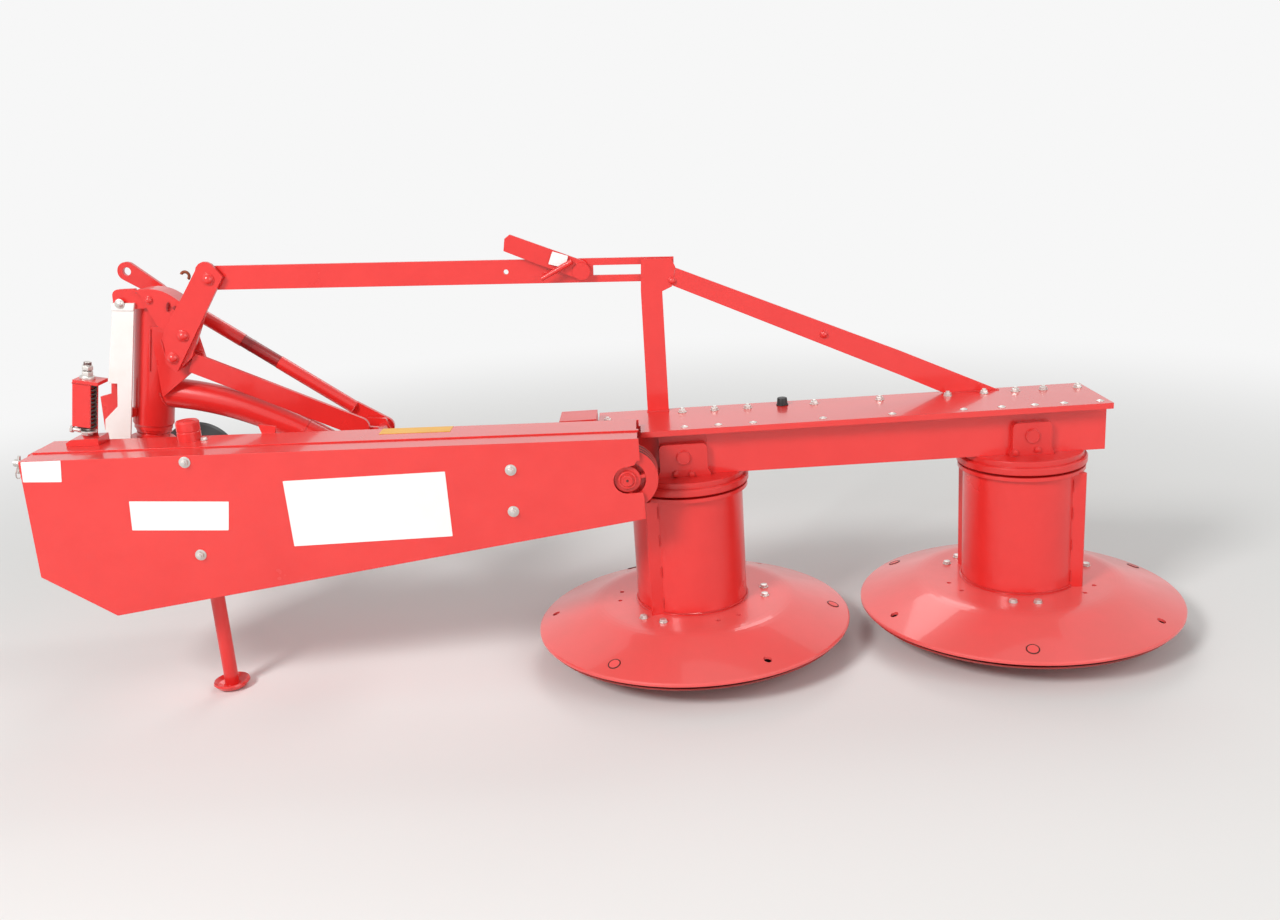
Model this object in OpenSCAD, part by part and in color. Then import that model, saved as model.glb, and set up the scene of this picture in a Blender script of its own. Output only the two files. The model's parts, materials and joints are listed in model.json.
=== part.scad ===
// Rear mounted two-drum rotary mower. Millimetres, +Z up, +X towards the outer drum, +Y towards the tractor.
// Sizes are given from the inner drum's axis at ground level; place() moves the whole to the row frame.

/* [Cutting drums] */
// Distance between the two drum axes
drum_spacing = 820; // [800:5:860]
// Outer radius of the knife discs
disc_r = 390; // [360:1:395]
// Radius of the flat ring round each drum's foot
disc_flat_r = 240; // [200:5:280]
// Height of the disc's flat ring above the ground
disc_top_z = 135; // [125:1:150]
// Height of the disc's rim above the ground
disc_rim_z = 79; // [74:1:90]
// Radius of each drum
drum_r = 143; // [125:1:150]
// Height of the drum's top lip above the ground
drum_top_z = 432; // [400:2:435]
// Radius of the circle of knife bolts and open holes
knife_circle_r = 351; // [320:1:360]
// Knives on each disc
knife_count = 3; // [2:1:4]
// Length of a knife between its ends
knife_len = 108; // [90:2:120]
// Flat bars on each drum
cleat_count = 2; // [2:1:4]
// Width of each flat bar
cleat_w = 34; // [25:1:45]
// How far each flat bar stands out from the drum
cleat_d = 8; // [5:1:14]
// Radius of the skid plate's edge
skid_r = 378; // [350:1:385]
// Height of the skid plate's edge above the ground
skid_edge_z = 62; // [50:1:64]

/* [Beam] */
// Height of the cover plate's top
cover_z = 592; // [580:1:600]
// Half of the cover plate's width
cover_half = 112; // [105:1:120]
// How far the cover and beam reach past the outer drum's axis
beam_out = 176; // [165:1:190]
// Half of the beam's width
beam_half = 70; // [60:1:80]
// Height of the beam's underside
beam_z = 470; // [462:1:480]

/* [Belt guard] */
// Distance of the input axis from the inner drum's axis
input_x = 1320; // [1280:5:1340]
// Height of the input axis
input_z = 474; // [460:1:490]
// Radius of the drive pulley
drive_r = 158; // [140:1:162]
// Distance of the driven shaft from the inner drum's axis
driven_x = 137; // [120:1:150]
// Height of the driven shaft
driven_z = 512; // [500:1:520]
// Radius of the input shield's rim
shield_r = 107; // [90:1:115]
// Radius of the driven pulley
driven_r = 70; // [60:1:74]
// Depth of the pulleys' grooves
groove_d = 9; // [7:0.5:11]
// Depth of the removable front shell
guard_front_d = 75; // [70:1:85]
// Depth of the fixed rear shell
guard_rear_d = 95; // [85:1:105]

// Height of the belt tensioner's spring box
tensioner_h = 115; // [100:5:130]

/* [Arm] */
// Lean of the mast from the vertical as parked
mast_tilt = 11.3; // [0:0.1:12]
// Length of the mast's sleeve
mast_len = 345; // [320:5:360]
// Outer radius of the mast's sleeve
mast_r = 50; // [45:1:55]
// Outer radius of the bent arm tube
arm_tube_r = 38; // [34:1:42]
// Height of the arm's hinge
hinge_z = 480; // [470:1:500]
// Height of the tie bar's section
tie_h = 58; // [50:1:64]

/* [Headstock] */
// Half of the distance between the lower pins' shoulders
hitch_half = 341; // [341:1:413]
// Radius of the lower hitch pins
hitch_pin_r = 11; // [11:0.5:14.25]
// Height of the top link above the lower pins
top_link_h = 460; // [460:5:510]
// Radius of the top link's bore
top_link_r = 9.7; // [9.5:0.1:13]

/* [Parking leg] */
// Distance of the leg from the inner drum's axis
leg_x = 1160; // [1120:5:1180]
// Outer radius of the leg's tube
leg_r = 17; // [15:0.5:20]

// Radius of the leg's dished foot
foot_r = 44; // [38:1:50]

/* [Hidden] */
$fn = 96;
// the two cutting units: place along the beam, first knife bolt's angle, first cleat's angle
UNIT_X = 0;
UNIT_KNIFE = 1;
UNIT_CLEAT = 2;
UNITS = [
    [0, 116.3, 239],
    [drum_spacing, 138.1, 309]
];
foot_circle_r = 183; // bolts that hold the disc to the drum
foot_pair = 8.8;     // half of the angle between a pair of them
// the knife bolts' heads lie in the cone of the disc, square to its slope
knife_head_r = 13;
cone_slope = (disc_top_z - disc_rim_z) / (disc_r - disc_flat_r);
knife_z = disc_top_z - (knife_circle_r - disc_flat_r) * cone_slope;
run = 0.05;          // radial clearance of a shaft in its bore
gap = 5;             // clearance between moving pieces
leaf = 5;            // thick sheet
sheet = 3;           // thin sheet
beam_end = drum_spacing + beam_out;
guard_front_y = -230;
guard_seam_y = guard_front_y + guard_front_d;
pulley_y = guard_front_y + sheet + gap + 1;
pulley_w = 64;
guard_back_y = guard_seam_y + guard_rear_d;
guard_left = -1498;
guard_right = -106;
// the guard's top stands clear of both pulleys
guard_top_l = input_z + drive_r + 15;
guard_top_r = driven_z + driven_r + 29;
guard_low_x = -1343;
guard_low_z = 261;
guard_low_r = 419;
leg_y = -95;
mast_x = -1360;
mast_y = 172;
mast_z = 606;
hinge_x = -815;
lip = 3;             // step where the rear plate laps the front shell
notch_r = 31;        // notch round the driven shaft's cap
lever_y = 88;
plate_t = 10;
gusset_y = 98;
gusset_t = 12;
tie_y = lever_y + plate_t + gap;
stay_end_x = -778;
stay_end_z = 563;
pin_x = -1128;
pin_z = 991;
slot_x = -44;
slot_z = 943;
tie_a = atan2(slot_z - pin_z, slot_x - pin_x);
tie_len = sqrt(pow(slot_x - pin_x, 2) + pow(slot_z - pin_z, 2));
hitch_u = -105;
hitch_v = 280;
hitch_w = -235;
x_mid = (drum_spacing + disc_r + mast_x + (hitch_w) * sin(mast_tilt)
    + (hitch_u - hitch_half - 54) * cos(mast_tilt) - hitch_pin_r * sin(mast_tilt)) / 2;
y_mid = (-disc_r + mast_y + hitch_v + 45) / 2;
red = [0.72, 0.06, 0.05];
zinc = [0.72, 0.72, 0.70];
black = [0.06, 0.06, 0.06];

module place() {
    translate([-x_mid, -y_mid, 0])
    children();
}

module at_drum(i) {
    translate([UNITS[i][UNIT_X], 0, 0])
    children();
}

// A plate in the XZ plane from its outline, between y0 and y0 + t
module upright(points, y0, t) {
    translate([0, y0 + t, 0])
    rotate([90, 0, 0])
    linear_extrude(t)
    polygon(points);
}

// A cylinder along Y from y0, length l
module along_y(x, z, r, y0, l) {
    translate([x, y0 + l, z])
    rotate([90, 0, 0])
    cylinder(r = r, h = l);
}

// The mast's own axes: u to the right, v forward, w up the mast
module on_mast() {
    translate([mast_x, mast_y, mast_z])
    rotate([0, mast_tilt, 0])
    children();
}

// Cutting drums

module drum(i) {
    flange_z = disc_top_z + 4;
    color(red)
    at_drum(i) {
        rotate_extrude()
        polygon([
            [24, drum_top_z - 12], [drum_r - 6, drum_top_z - 12], [drum_r - 6, disc_top_z],
            [drum_r + 22, disc_top_z], [drum_r + 22, flange_z], [drum_r + 4, flange_z + 1], [drum_r, flange_z + 6],
            [drum_r, drum_top_z - 12], [drum_r + 7, drum_top_z - 5], [drum_r + 7, drum_top_z], [30, drum_top_z],
            [30, beam_z - 2], [24, beam_z - 2]
        ]);
        // flat bars that carry the crop round
        for (k = [0 : cleat_count - 1])
            rotate([0, 0, UNITS[i][UNIT_CLEAT] + k * 360 / cleat_count])
            translate([drum_r - 1, -cleat_w / 2, flange_z])
            cube([cleat_d + 1, cleat_w, drum_top_z - 14 - flange_z]);
    }
}

// A short cylinder at a knife bolt, from a depth under the cone's face
module knife_head(r, down, h) {
    translate([knife_circle_r, 0, knife_z])
    rotate([0, atan(cone_slope), 0])
    translate([0, 0, -down])
    cylinder(r = r, h = h);
}

module disc(i) {
    // the bend from flat to cone as an arc that touches both
    bend_r = 120;
    lean = atan(cone_slope);
    reach = bend_r * tan(lean / 2);
    outer = [for (k = [0 : 4]) [
        disc_flat_r - reach + bend_r * sin(lean * k / 4), disc_top_z - bend_r * (1 - cos(lean * k / 4))
    ]];
    inner = [for (k = [4 : -1 : 0]) [outer[k][0], outer[k][1] - 7]];
    color(red)
    at_drum(i)
    difference() {
        rotate_extrude()
        polygon(concat(
            [[40.05, disc_top_z]], outer,
            [[disc_r - 3, disc_rim_z + 1], [disc_r, disc_rim_z - 2], [disc_r, disc_rim_z - 7]], inner,
            [[40.05, disc_top_z - 7]]
        ));
        // knife bolts, with open holes between them
        for (k = [0 : 2 * knife_count - 1])
            rotate([0, 0, UNITS[i][UNIT_KNIFE] + k * 180 / knife_count]) {
                translate([knife_circle_r, 0, 0])
                cylinder(r = k % 2 == 0 ? 8.2 : 9.5, h = 200);
                if (k % 2 == 0)
                    knife_head(knife_head_r + 0.1, 3.5, 30);
            }
        // pairs of spare holes in the flat ring
        for (k = [0 : knife_count - 1])
            for (side = [-1, 1])
                rotate([0, 0, UNITS[i][UNIT_KNIFE] + (k + 0.5) * 360 / knife_count + side * foot_pair])
                translate([foot_circle_r, 0, 100])
                cylinder(r = 5.5, h = 60);
    }
}

module knives(i) {
    at_drum(i)
    for (k = [0 : knife_count - 1])
        rotate([0, 0, UNITS[i][UNIT_KNIFE] + 360 / knife_count * k]) {
            color(zinc) {
                translate([knife_circle_r, 0, 70])
                cylinder(r = 8, h = knife_z - 72);
                knife_head(knife_head_r, 3.4, 4.4);
            }
            color([0.35, 0.34, 0.33])
            translate([knife_circle_r - 20, -knife_len + 22, 72])
            cube([34, knife_len, 4]);
        }
}

module skid(i) {
    color(red)
    at_drum(i)
    rotate_extrude()
    polygon([
        [0, 0], [190, 0], [skid_r - 4, skid_edge_z - 6], [skid_r, skid_edge_z - 3], [skid_r - 1, skid_edge_z],
        [188, 5], [60, 5], [60, 95], [40, 95], [40, disc_top_z], [0, disc_top_z]
    ]);
}

// Beam

module beam() {
    color(red)
    difference() {
        translate([52, -beam_half, beam_z])
        cube([beam_end - 52, 2 * beam_half, cover_z - 6 - beam_z]);
        translate([46, -beam_half + leaf, beam_z + leaf])
        cube([beam_end - 52, 2 * beam_half - 2 * leaf, cover_z]);
        at_drum(1)
        translate([0, 0, beam_z - 1])
        cylinder(r = 40, h = leaf + 2);
    }
}

module cover() {
    color(red)
    difference() {
        translate([-205, -cover_half, cover_z - 14])
        cube([beam_end + 205, 2 * cover_half, 14]);
        translate([-206, -cover_half + sheet, cover_z - 20])
        cube([beam_end + 210, 2 * cover_half - 2 * sheet, 14]);
        translate([drum_spacing / 2 - 160, 74, cover_z - 20])
        cylinder(r = 14, h = 30);
        // room for the guard's end over the left of the plate
        translate([-206, -cover_half - 1, cover_z - 20])
        cube([206 + guard_right + 4, 62, 30]);
    }
}

module cover_plug() {
    color(black)
    translate([drum_spacing / 2 - 160, 74, cover_z - 6]) {
        cylinder(r = 13.95, h = 6);
        translate([0, 0, 6])
        cylinder(r = 19, h = 7);
    }
}

module bearing_block(x0, x1) {
    w = x1 - x0;
    round_r = 12;
    arc = [for (k = [0 : 4]) [round_r * sin(90 * k / 4), round_r * cos(90 * k / 4)]];
    face = concat(
        [[-6, 0], [-6, 6], [0, 16]],
        [for (k = [4 : -1 : 0]) [round_r - arc[k][0], 80 - round_r + arc[k][1]]],
        [for (k = [0 : 4]) [w - round_r + arc[k][0], 80 - round_r + arc[k][1]]],
        [[w, 16], [w + 6, 6], [w + 6, 0]]
    );
    color(red)
    for (s = [-1, 1]) {
        translate([x0, 0, beam_z])
        upright(face, s > 0 ? beam_half : -beam_half - 18, 18);
        along_y((x0 + x1) / 2, driven_z + 6, 17, s > 0 ? beam_half + 18 : -beam_half - 22, 4);
    }
}

module bearing_blocks() {
    bearing_block(-62, 52);
    bearing_block(drum_spacing - 48, drum_spacing + 44);
}

module gearbox() {
    color(red)
    difference() {
        union() {
            translate([-62, -beam_half, beam_z])
            cube([114, 2 * beam_half, cover_z - 6 - beam_z]);
            translate([-285, guard_back_y, beam_z])
            cube([223, 118, cover_z - 6 - beam_z]);
            translate([-295, -45, cover_z - 10])
            cube([88, 100, 32]);
        }
        along_y(-driven_x, driven_z, 17 + run, guard_back_y - 1, 60);
        translate([0, 0, beam_z - 1])
        cylinder(r = 40, h = 40);
    }
}

module drum_flanges() {
    color(red)
    for (i = [0, 1])
        at_drum(i)
        rotate_extrude()
        polygon([
            [30 + run, drum_top_z + 6], [drum_r + 8, drum_top_z + 6], [drum_r + 10, drum_top_z + 8],
            [drum_r + 10, drum_top_z + 21], [drum_r + 7, drum_top_z + 24], [drum_r + 2, drum_top_z + 24],
            [drum_r + 2, beam_z - 2], [drum_r, beam_z], [30 + run, beam_z]
        ]);
}

module post() {
    color(red) {
        upright([
            [-84, cover_z], [-31, cover_z], [-30, 890], [-6, 900], [5, 946], [-4, 968], [-77, 971], [-82, 894]
        ], lever_y, plate_t);
        along_y(slot_x, slot_z, 9.9, lever_y + plate_t - 1, 27);
        along_y(slot_x, slot_z, 18, tie_y + plate_t + 3, 6);
    }
}

module brace() {
    color(red)
    upright([[5, 944.3], [546, 706], [790, cover_z], [655, cover_z], [546, 645], [-5, 902.2]], lever_y + 1, 8);
}

// Belt guard

function guard_top(x) = guard_top_l + (guard_top_r - guard_top_l) * (x - guard_left) / (guard_right - guard_left);

function guard_low(x) = guard_low_z + (guard_low_r - guard_low_z) * (x - guard_low_x) / (guard_right - guard_low_x);

module guard_outline(inset, down = 0) {
    polygon([
        [guard_left + inset, guard_top_l - inset - down],
        [guard_left - 4 + inset, 367 + inset * 0.5],
        [guard_low_x + inset * 0.2, guard_low_z + inset * 1.1],
        [guard_right + 5, guard_low_r + inset],
        [guard_right + 5, driven_z - 43],
        [guard_right, driven_z - 20],
        [guard_right, guard_top_r - inset - down]
    ]);
}

module guard_prism(inset, y0, t, down = 0) {
    translate([0, y0 + t, 0])
    rotate([90, 0, 0])
    linear_extrude(t)
    guard_outline(inset, down);
}

module guard_face() {
    color(red)
    difference() {
        guard_prism(0, guard_front_y, guard_front_d, lip);
        guard_prism(sheet, guard_front_y + sheet, guard_front_d, lip);
        translate([guard_right - sheet, guard_front_y + sheet, 300])
        cube([20, 200, 400]);
        // notch round the driven shaft's end, open to the right
        along_y(-driven_x, driven_z, notch_r, guard_front_y - 1, 10);
        upright([
            [-driven_x, driven_z + notch_r], [-driven_x + 18, driven_z + notch_r + 4],
            [-driven_x + 24, driven_z + 45], [-80, driven_z + 45], [-80, driven_z - notch_r + 2],
            [-driven_x, driven_z - notch_r]
        ], guard_front_y - 1, 10);
    }
}

module guard_back() {
    color(red) {
        // lip over the front shell's top
        upright([
            [guard_left, guard_top_l - lip], [guard_left, guard_top_l], [guard_right, guard_top_r],
            [guard_right, guard_top_r - lip]
        ], guard_seam_y - 10, 12);
        // bent tab on the top's rear edge
        upright([
            [-1000, guard_top(-1000) - 8], [-1008, guard_top(-1000) + 22], [-966, guard_top(-966) + 16],
            [-972, guard_top(-966) - 8]
        ], guard_back_y - 0.1, 5);
        // ribs on the rear wall
        for (x = [-1090, -600, -400])
            upright([
                [x, guard_top(x) - 30], [x + 8, guard_top(x) - 30],
                [x + 8, guard_low(x) + 20], [x, guard_low(x) + 20]
            ], guard_back_y - 0.1, 14);
    }
    color(red)
    difference() {
        guard_prism(0, guard_seam_y, guard_rear_d);
        guard_prism(leaf, guard_seam_y - 1, guard_rear_d - leaf + 1);
        translate([guard_right - leaf, guard_seam_y - 1, 300])
        cube([22, guard_rear_d - leaf + 1, 400]);
        // the driven shaft's way in, open to the right
        along_y(-driven_x, driven_z, 40, guard_back_y - leaf - 1, leaf + 2);
        translate([-driven_x, guard_back_y - leaf - 1, driven_z - 40])
        cube([driven_r, leaf + 2, 80]);
        along_y(-input_x, input_z, 56, guard_back_y - leaf - 1, leaf + 2);
        translate([-leg_x, leg_y, 200])
        cylinder(r = leg_r + 10.3, h = 600);
        // room for the inner drum and its flange
        translate([0, 0, 300])
        cylinder(r = drum_r + 24, h = beam_z + 4 - 300);
    }
}

module belt_loop(r0, r1) {
    hull() {
        translate([-input_x, input_z])
        circle(r = r0);
        translate([-driven_x, driven_z])
        circle(r = r1);
    }
}

module belts() {
    color(black)
    for (k = [0 : 2])
        translate([0, pulley_y + 17 + k * 21, 0])
        rotate([90, 0, 0])
        linear_extrude(12)
        difference() {
            belt_loop(drive_r + 3, driven_r + 3);
            belt_loop(drive_r - groove_d + 0.3, driven_r - groove_d + 0.3);
        }
}

module pulley(r, y0) {
    translate([0, y0, 0])
    rotate([-90, 0, 0])
    difference() {
        rotate_extrude()
        polygon([
            [0, 0], [r, 0], [r, 2], [r - groove_d, 4], [r - groove_d, 18], [r, 20], [r, 23], [r - groove_d, 25],
            [r - groove_d, 39], [r, 41], [r, 44], [r - groove_d, 46], [r - groove_d, 60], [r, 62], [r, 64],
            [0, 64]
        ]);
        translate([0, 0, -1])
        rotate_extrude()
        polygon([[30, 0], [r - 28, 0], [r - 28, 22], [30, 22]]);
    }
}

module drive_pulley() {
    color(red)
    translate([-input_x, 0, input_z])
    pulley(drive_r, pulley_y);
    color(zinc) {
        along_y(-input_x, input_z, 22, pulley_y + pulley_w - 2, 503 - pulley_w);
        along_y(-input_x, input_z, 17.4, guard_front_y + 510, 76);
    }
}

module driven_pulley() {
    color(red) {
        translate([-driven_x, 0, driven_z])
        pulley(driven_r, pulley_y);
        along_y(-driven_x, driven_z, 21, guard_front_y + 3, pulley_y - guard_front_y - 2);
        along_y(-driven_x, driven_z, 13, guard_front_y - 2, 6);
        // ribs across the hollow of the web
        for (k = [0 : 3])
            translate([-driven_x, pulley_y + 2, driven_z])
            rotate([0, -8 + 90 * k, 0])
            translate([20, 0, -4])
            cube([driven_r - 46, 21, 8]);
    }
    color(zinc)
    along_y(-driven_x, driven_z, 17, pulley_y + pulley_w - 2, 220 - pulley_w);
}

module input_housing() {
    color(red)
    difference() {
        union() {
            along_y(-input_x, input_z, 55.8, guard_back_y - 40, 70);
            along_y(-input_x, input_z, 38, guard_back_y, 330);
        }
        along_y(-input_x, input_z, 22 + run, guard_back_y - 41, 400);
    }
}

module input_shield() {
    y0 = guard_back_y + 300;
    color(black)
    translate([-input_x, y0, input_z])
    rotate([-90, 0, 0])
    rotate_extrude()
    polygon([
        [38.2, 0], [62, 0], [72, 8], [shield_r, 88], [shield_r + 3, 100], [shield_r, 100], [shield_r - 3, 89],
        [69, 11], [60, 4], [38.2, 4]
    ]);
}

// The tensioner leans as the mast does: its frame stands at the spring's foot
module on_tensioner() {
    translate([-1391, -97, guard_top(-1448) + 30])
    rotate([0, mast_tilt, 0])
    children();
}

module tensioner() {
    base_z = guard_top(-1448) + 15;
    color(red) {
        // foot that follows the sloping top
        upright([
            [-1440, guard_top(-1440) + 0.1], [-1364, guard_top(-1364) + 0.1], [-1364, base_z], [-1428, base_z],
            [-1440, base_z - 7]
        ], -120, 44);
        on_tensioner() {
            translate([-30, -21, -2])
            cube([41, leaf, tensioner_h + 3]);
            translate([22, -16, -18])
            cube([6, 34, tensioner_h + 19]);
            difference() {
                translate([-30, -21, tensioner_h])
                cube([58, 42, 8]);
                translate([2, 0, tensioner_h - 1])
                cylinder(r = 8 + run, h = 10);
            }
        }
    }
}

module tensioner_rod() {
    color(zinc)
    on_tensioner()
    translate([2, 0, 0]) {
        translate([0, 0, -13])
        cylinder(r = 8, h = tensioner_h + 67);
        translate([0, 0, -12])
        cylinder(r = 13, h = 9, $fn = 6);
        translate([0, 0, -4])
        cylinder(r = 16, h = 4);
        translate([0, 0, tensioner_h + 8.1]) {
            cylinder(r = 17, h = 6);
            translate([0, 0, 5])
            cylinder(r = 13, h = 13, $fn = 6);
            translate([0, 0, 21])
            cylinder(r = 13, h = 10, $fn = 6);
        }
    }
}

module leg_sleeve() {
    color(red)
    difference() {
        translate([-leg_x, leg_y, 294]) {
            cylinder(r = leg_r + 7, h = 330);
            // cap with a groove and a chamfered top
            translate([0, 0, 330])
            rotate_extrude()
            polygon([
                [0, 0], [leg_r + 10, 0], [leg_r + 10, 34], [leg_r + 9, 35], [leg_r + 9, 37], [leg_r + 10, 38],
                [leg_r + 10, 57], [leg_r + 7, 61], [0, 63]
            ]);
        }
        translate([-leg_x, leg_y, 290])
        cylinder(r = leg_r + run, h = 394);
    }
}

module parking_leg() {
    color(red)
    translate([-leg_x, leg_y, 0]) {
        translate([0, 0, 5])
        cylinder(r = leg_r, h = 425);
        // dished foot
        rotate_extrude()
        polygon([[0, 0], [26, 0], [36, 5], [foot_r, 15], [foot_r - 2, 20], [34, 11], [24, 6], [0, 6]]);
    }
}

module hinge_bracket() {
    color(red) {
        difference() {
            union() {
                translate([hinge_x - 60, guard_back_y, hinge_z - 62])
                cube([120, 335, 12]);
                for (y = [guard_back_y, 76, 260]) {
                    upright([
                        [hinge_x - 60, hinge_z - 62], [hinge_x + 60, hinge_z - 62],
                        [hinge_x + 30, hinge_z], [hinge_x - 30, hinge_z]
                    ], y, 15);
                    along_y(hinge_x, hinge_z, 30, y, 15);
                }
            }
            along_y(hinge_x, hinge_z, 15 + run, guard_back_y - 1, 400);
        }
    }
}

module hinge_pin() {
    color(zinc) {
        along_y(hinge_x, hinge_z, 15, guard_back_y + 4, 340);
        along_y(hinge_x, hinge_z, 24, guard_back_y + 336, 6);
    }
}

// Arm

module mast_sleeve() {
    color(red)
    on_mast()
    difference() {
        rotate_extrude()
        polygon([
            [36 + run, 3], [42, 3], [42, 10], [46, 10], [46, 18], [mast_r, 24], [mast_r, mast_len],
            [36 + run, mast_len]
        ]);
    }
}

module arm_tube() {
    bend = 820;
    a0 = 8.5;
    a1 = 33;
    x0 = -1296;
    z0 = 702;
    color(red) {
        // bent part: its centre lies below the tube's start
        difference() {
            translate([x0 - bend * sin(a0), mast_y, z0 - bend * cos(a0)])
            rotate([90, 0, 0])
            rotate([0, 0, 90 - a1])
            rotate_extrude(angle = a1 - a0 + 2)
            translate([bend, 0])
            circle(r = arm_tube_r);
            on_mast()
            cylinder(r = mast_r + 0.3, h = mast_len);
        }
        x1 = x0 + bend * (sin(a1) - sin(a0));
        z1 = z0 - bend * (cos(a0) - cos(a1));
        difference() {
            translate([x1, mast_y, z1])
            rotate([0, 90 + a1, 0]) {
                cylinder(r = arm_tube_r, h = (hinge_x - x1) / cos(a1) - 20);
                translate([0, 0, -4])
                cylinder(r = arm_tube_r + 1, h = 8);
            }
            along_y(hinge_x, hinge_z, 32.3, 60, 250);
        }
    }
}

module arm_end() {
    color(red)
    difference() {
        union() {
            along_y(hinge_x, hinge_z, 32, 96, 159);
            for (y = [122, 215.5])
                upright([
                    [hinge_x - 30, hinge_z - 10], [hinge_x + 28, hinge_z - 18],
                    [hinge_x + 56, 560], [hinge_x + 46, 588], [hinge_x - 2, 594], [hinge_x - 30, 575]
                ], y, 12);
            along_y(stay_end_x, stay_end_z, 14, 110, 142);
            along_y(stay_end_x, stay_end_z, 18, 227, 9);
        }
        along_y(hinge_x, hinge_z, 15 + run, 90, 180);
    }
}

module flat_strut() {
    color(red) {
        translate([-1209, 122, 786])
        rotate([0, atan2(786 - 590, 1209 - 805), 0]) {
            translate([0, -12, -25])
            cube([440, 12, 50]);
            // round end
            translate([440, 0, 0])
            rotate([90, 0, 0])
            cylinder(r = 25, h = 12);
        }
        // root plate from the mast to the strut
        difference() {
            upright([[-1300, 880], [-1190, 872], [-1176, 786], [-1200, 770], [-1300, 700]], 122, 12);
            on_mast()
            cylinder(r = mast_r + 0.3, h = mast_len);
        }
    }
}

// The head of the mast: a gusset whose bent flange roofs the sleeve, and the plate that stiffens it
module gusset() {
    rim = [
        [-1313, 973], [-1294, 975], [-1275, 974.5], [-1261, 972], [-1248, 968], [-1236, 962], [-1224, 954],
        [-1205, 938]
    ];
    color(red) {
        upright(concat(rim, [
            [-1150, 905], [-1200, 800], [-1239, 769], [-1262, 792], [-1268, 849], [-1255, 871], [-1272, 884],
            [-1284, 913], [-1300, 959]
        ]), gusset_y, gusset_t);
        // flange along the curved rim
        upright(concat(rim, [for (k = [7 : -1 : 0]) [rim[k][0] - 1, rim[k][1] - leaf]]), gusset_y, 62);
        // rib from the gusset to the strut's root plate
        on_mast()
        translate([60, gusset_y + gusset_t - mast_y - 0.5, 215])
        cube([10, 12.2, 60]);
    }
}

module lever_plate() {
    color(red) {
        upright([
            [-1153, 1012], [-1150, 1020], [-1142, 1028], [-1132, 1032], [-1122, 1031], [-1112, 1025],
            [-1089, 993], [-1236, 771], [-1243, 769], [-1262, 792], [-1255, 871], [-1192, 956]
        ], lever_y, plate_t);
        along_y(pin_x, pin_z, 15, lever_y + plate_t, 26);
        along_y(pin_x, pin_z, 22, tie_y + plate_t + 3, 6);
    }
}

module hook_plate() {
    color([0.93, 0.93, 0.92]) {
        upright([
            [-1378, 928], [-1325, 924], [-1396, 584], [-1458, 588], [-1446, 657], [-1409, 688], [-1402, 728],
            [-1399, 746], [-1421, 748]
        ], 104, 6);
        // bent top that is bolted to the bracket
        upright([[-1376, 946], [-1320, 942], [-1325, 924], [-1378, 928]], 101, 9);
    }
}

module hook_bracket() {
    corner_r = 16;
    color(red)
    upright(concat(
        [[-1375, 929]],
        [for (k = [0 : 5]) [-1374 + corner_r - corner_r * cos(90 * k / 5), 961 + corner_r * sin(90 * k / 5)]],
        [[-1316, 976], [-1315, 966], [-1300, 957], [-1290, 927], [-1322, 926.5]]
    ), 110.2, 11.5);
}

// Catch behind the hook plate's notch, on the mast's sleeve
module catch_plate() {
    color(red)
    difference() {
        upright([
            [-1461, 626], [-1457, 712], [-1428, 718], [-1422, 750], [-1396, 750], [-1403, 726], [-1406, 700],
            [-1405, 690], [-1395, 680], [-1372, 676], [-1376, 656], [-1440, 640]
        ], 124, 12);
        on_mast()
        cylinder(r = mast_r + 0.3, h = mast_len);
    }
}

module stay_rod() {
    a = atan2(1008 - stay_end_z, 1383 + stay_end_x);
    l = sqrt(pow(1008 - stay_end_z, 2) + pow(1383 + stay_end_x, 2));
    tube_r = 17.5;
    flat = 95; // flat eye bars at both ends
    color(red)
    translate([-1383, 242, 1008])
    rotate([0, a, 0])
    difference() {
        union() {
            upright([
                [0, 24], [flat, tube_r], [flat, -tube_r], [0, -24]
            ], -6, 12);
            along_y(0, 0, 24, -6, 12);
            upright([
                [l, 24], [l - flat, tube_r], [l - flat, -tube_r], [l, -24]
            ], -6, 12);
            along_y(l, 0, 24, -6, 12);
            // tube, with the thinner section that gives way when the mower strikes something
            translate([flat - 4, 0, 0])
            rotate([0, 90, 0])
            cylinder(r = tube_r, h = 330 - flat + 4);
            translate([329, 0, 0])
            rotate([0, 90, 0])
            cylinder(r = tube_r - 1.5, h = 107);
            translate([435, 0, 0])
            rotate([0, 90, 0])
            cylinder(r = tube_r, h = l - flat + 4 - 435);
        }
        along_y(l, 0, 14 + run, -10, 20);
        along_y(0, 0, 10.5, -10, 20);
    }
}

module tie_bar() {
    color(red)
    translate([pin_x, tie_y, pin_z])
    rotate([0, -tie_a, 0])
    difference() {
        union() {
            translate([0, 0, -tie_h / 2])
            cube([tie_len + 45, plate_t, tie_h]);
            translate([0, plate_t, 0])
            rotate([90, 0, 0])
            cylinder(r = tie_h / 2, h = plate_t);
        }
        translate([0, plate_t + 1, 0])
        rotate([90, 0, 0])
        cylinder(r = 15 + run, h = plate_t + 2);
        translate([tie_len - 150, -1, -12])
        cube([170, plate_t + 2, 24]);
        translate([tie_len - 362, plate_t + 1, 0])
        rotate([90, 0, 0])
        cylinder(r = 6, h = plate_t + 2);
    }
}

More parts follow.
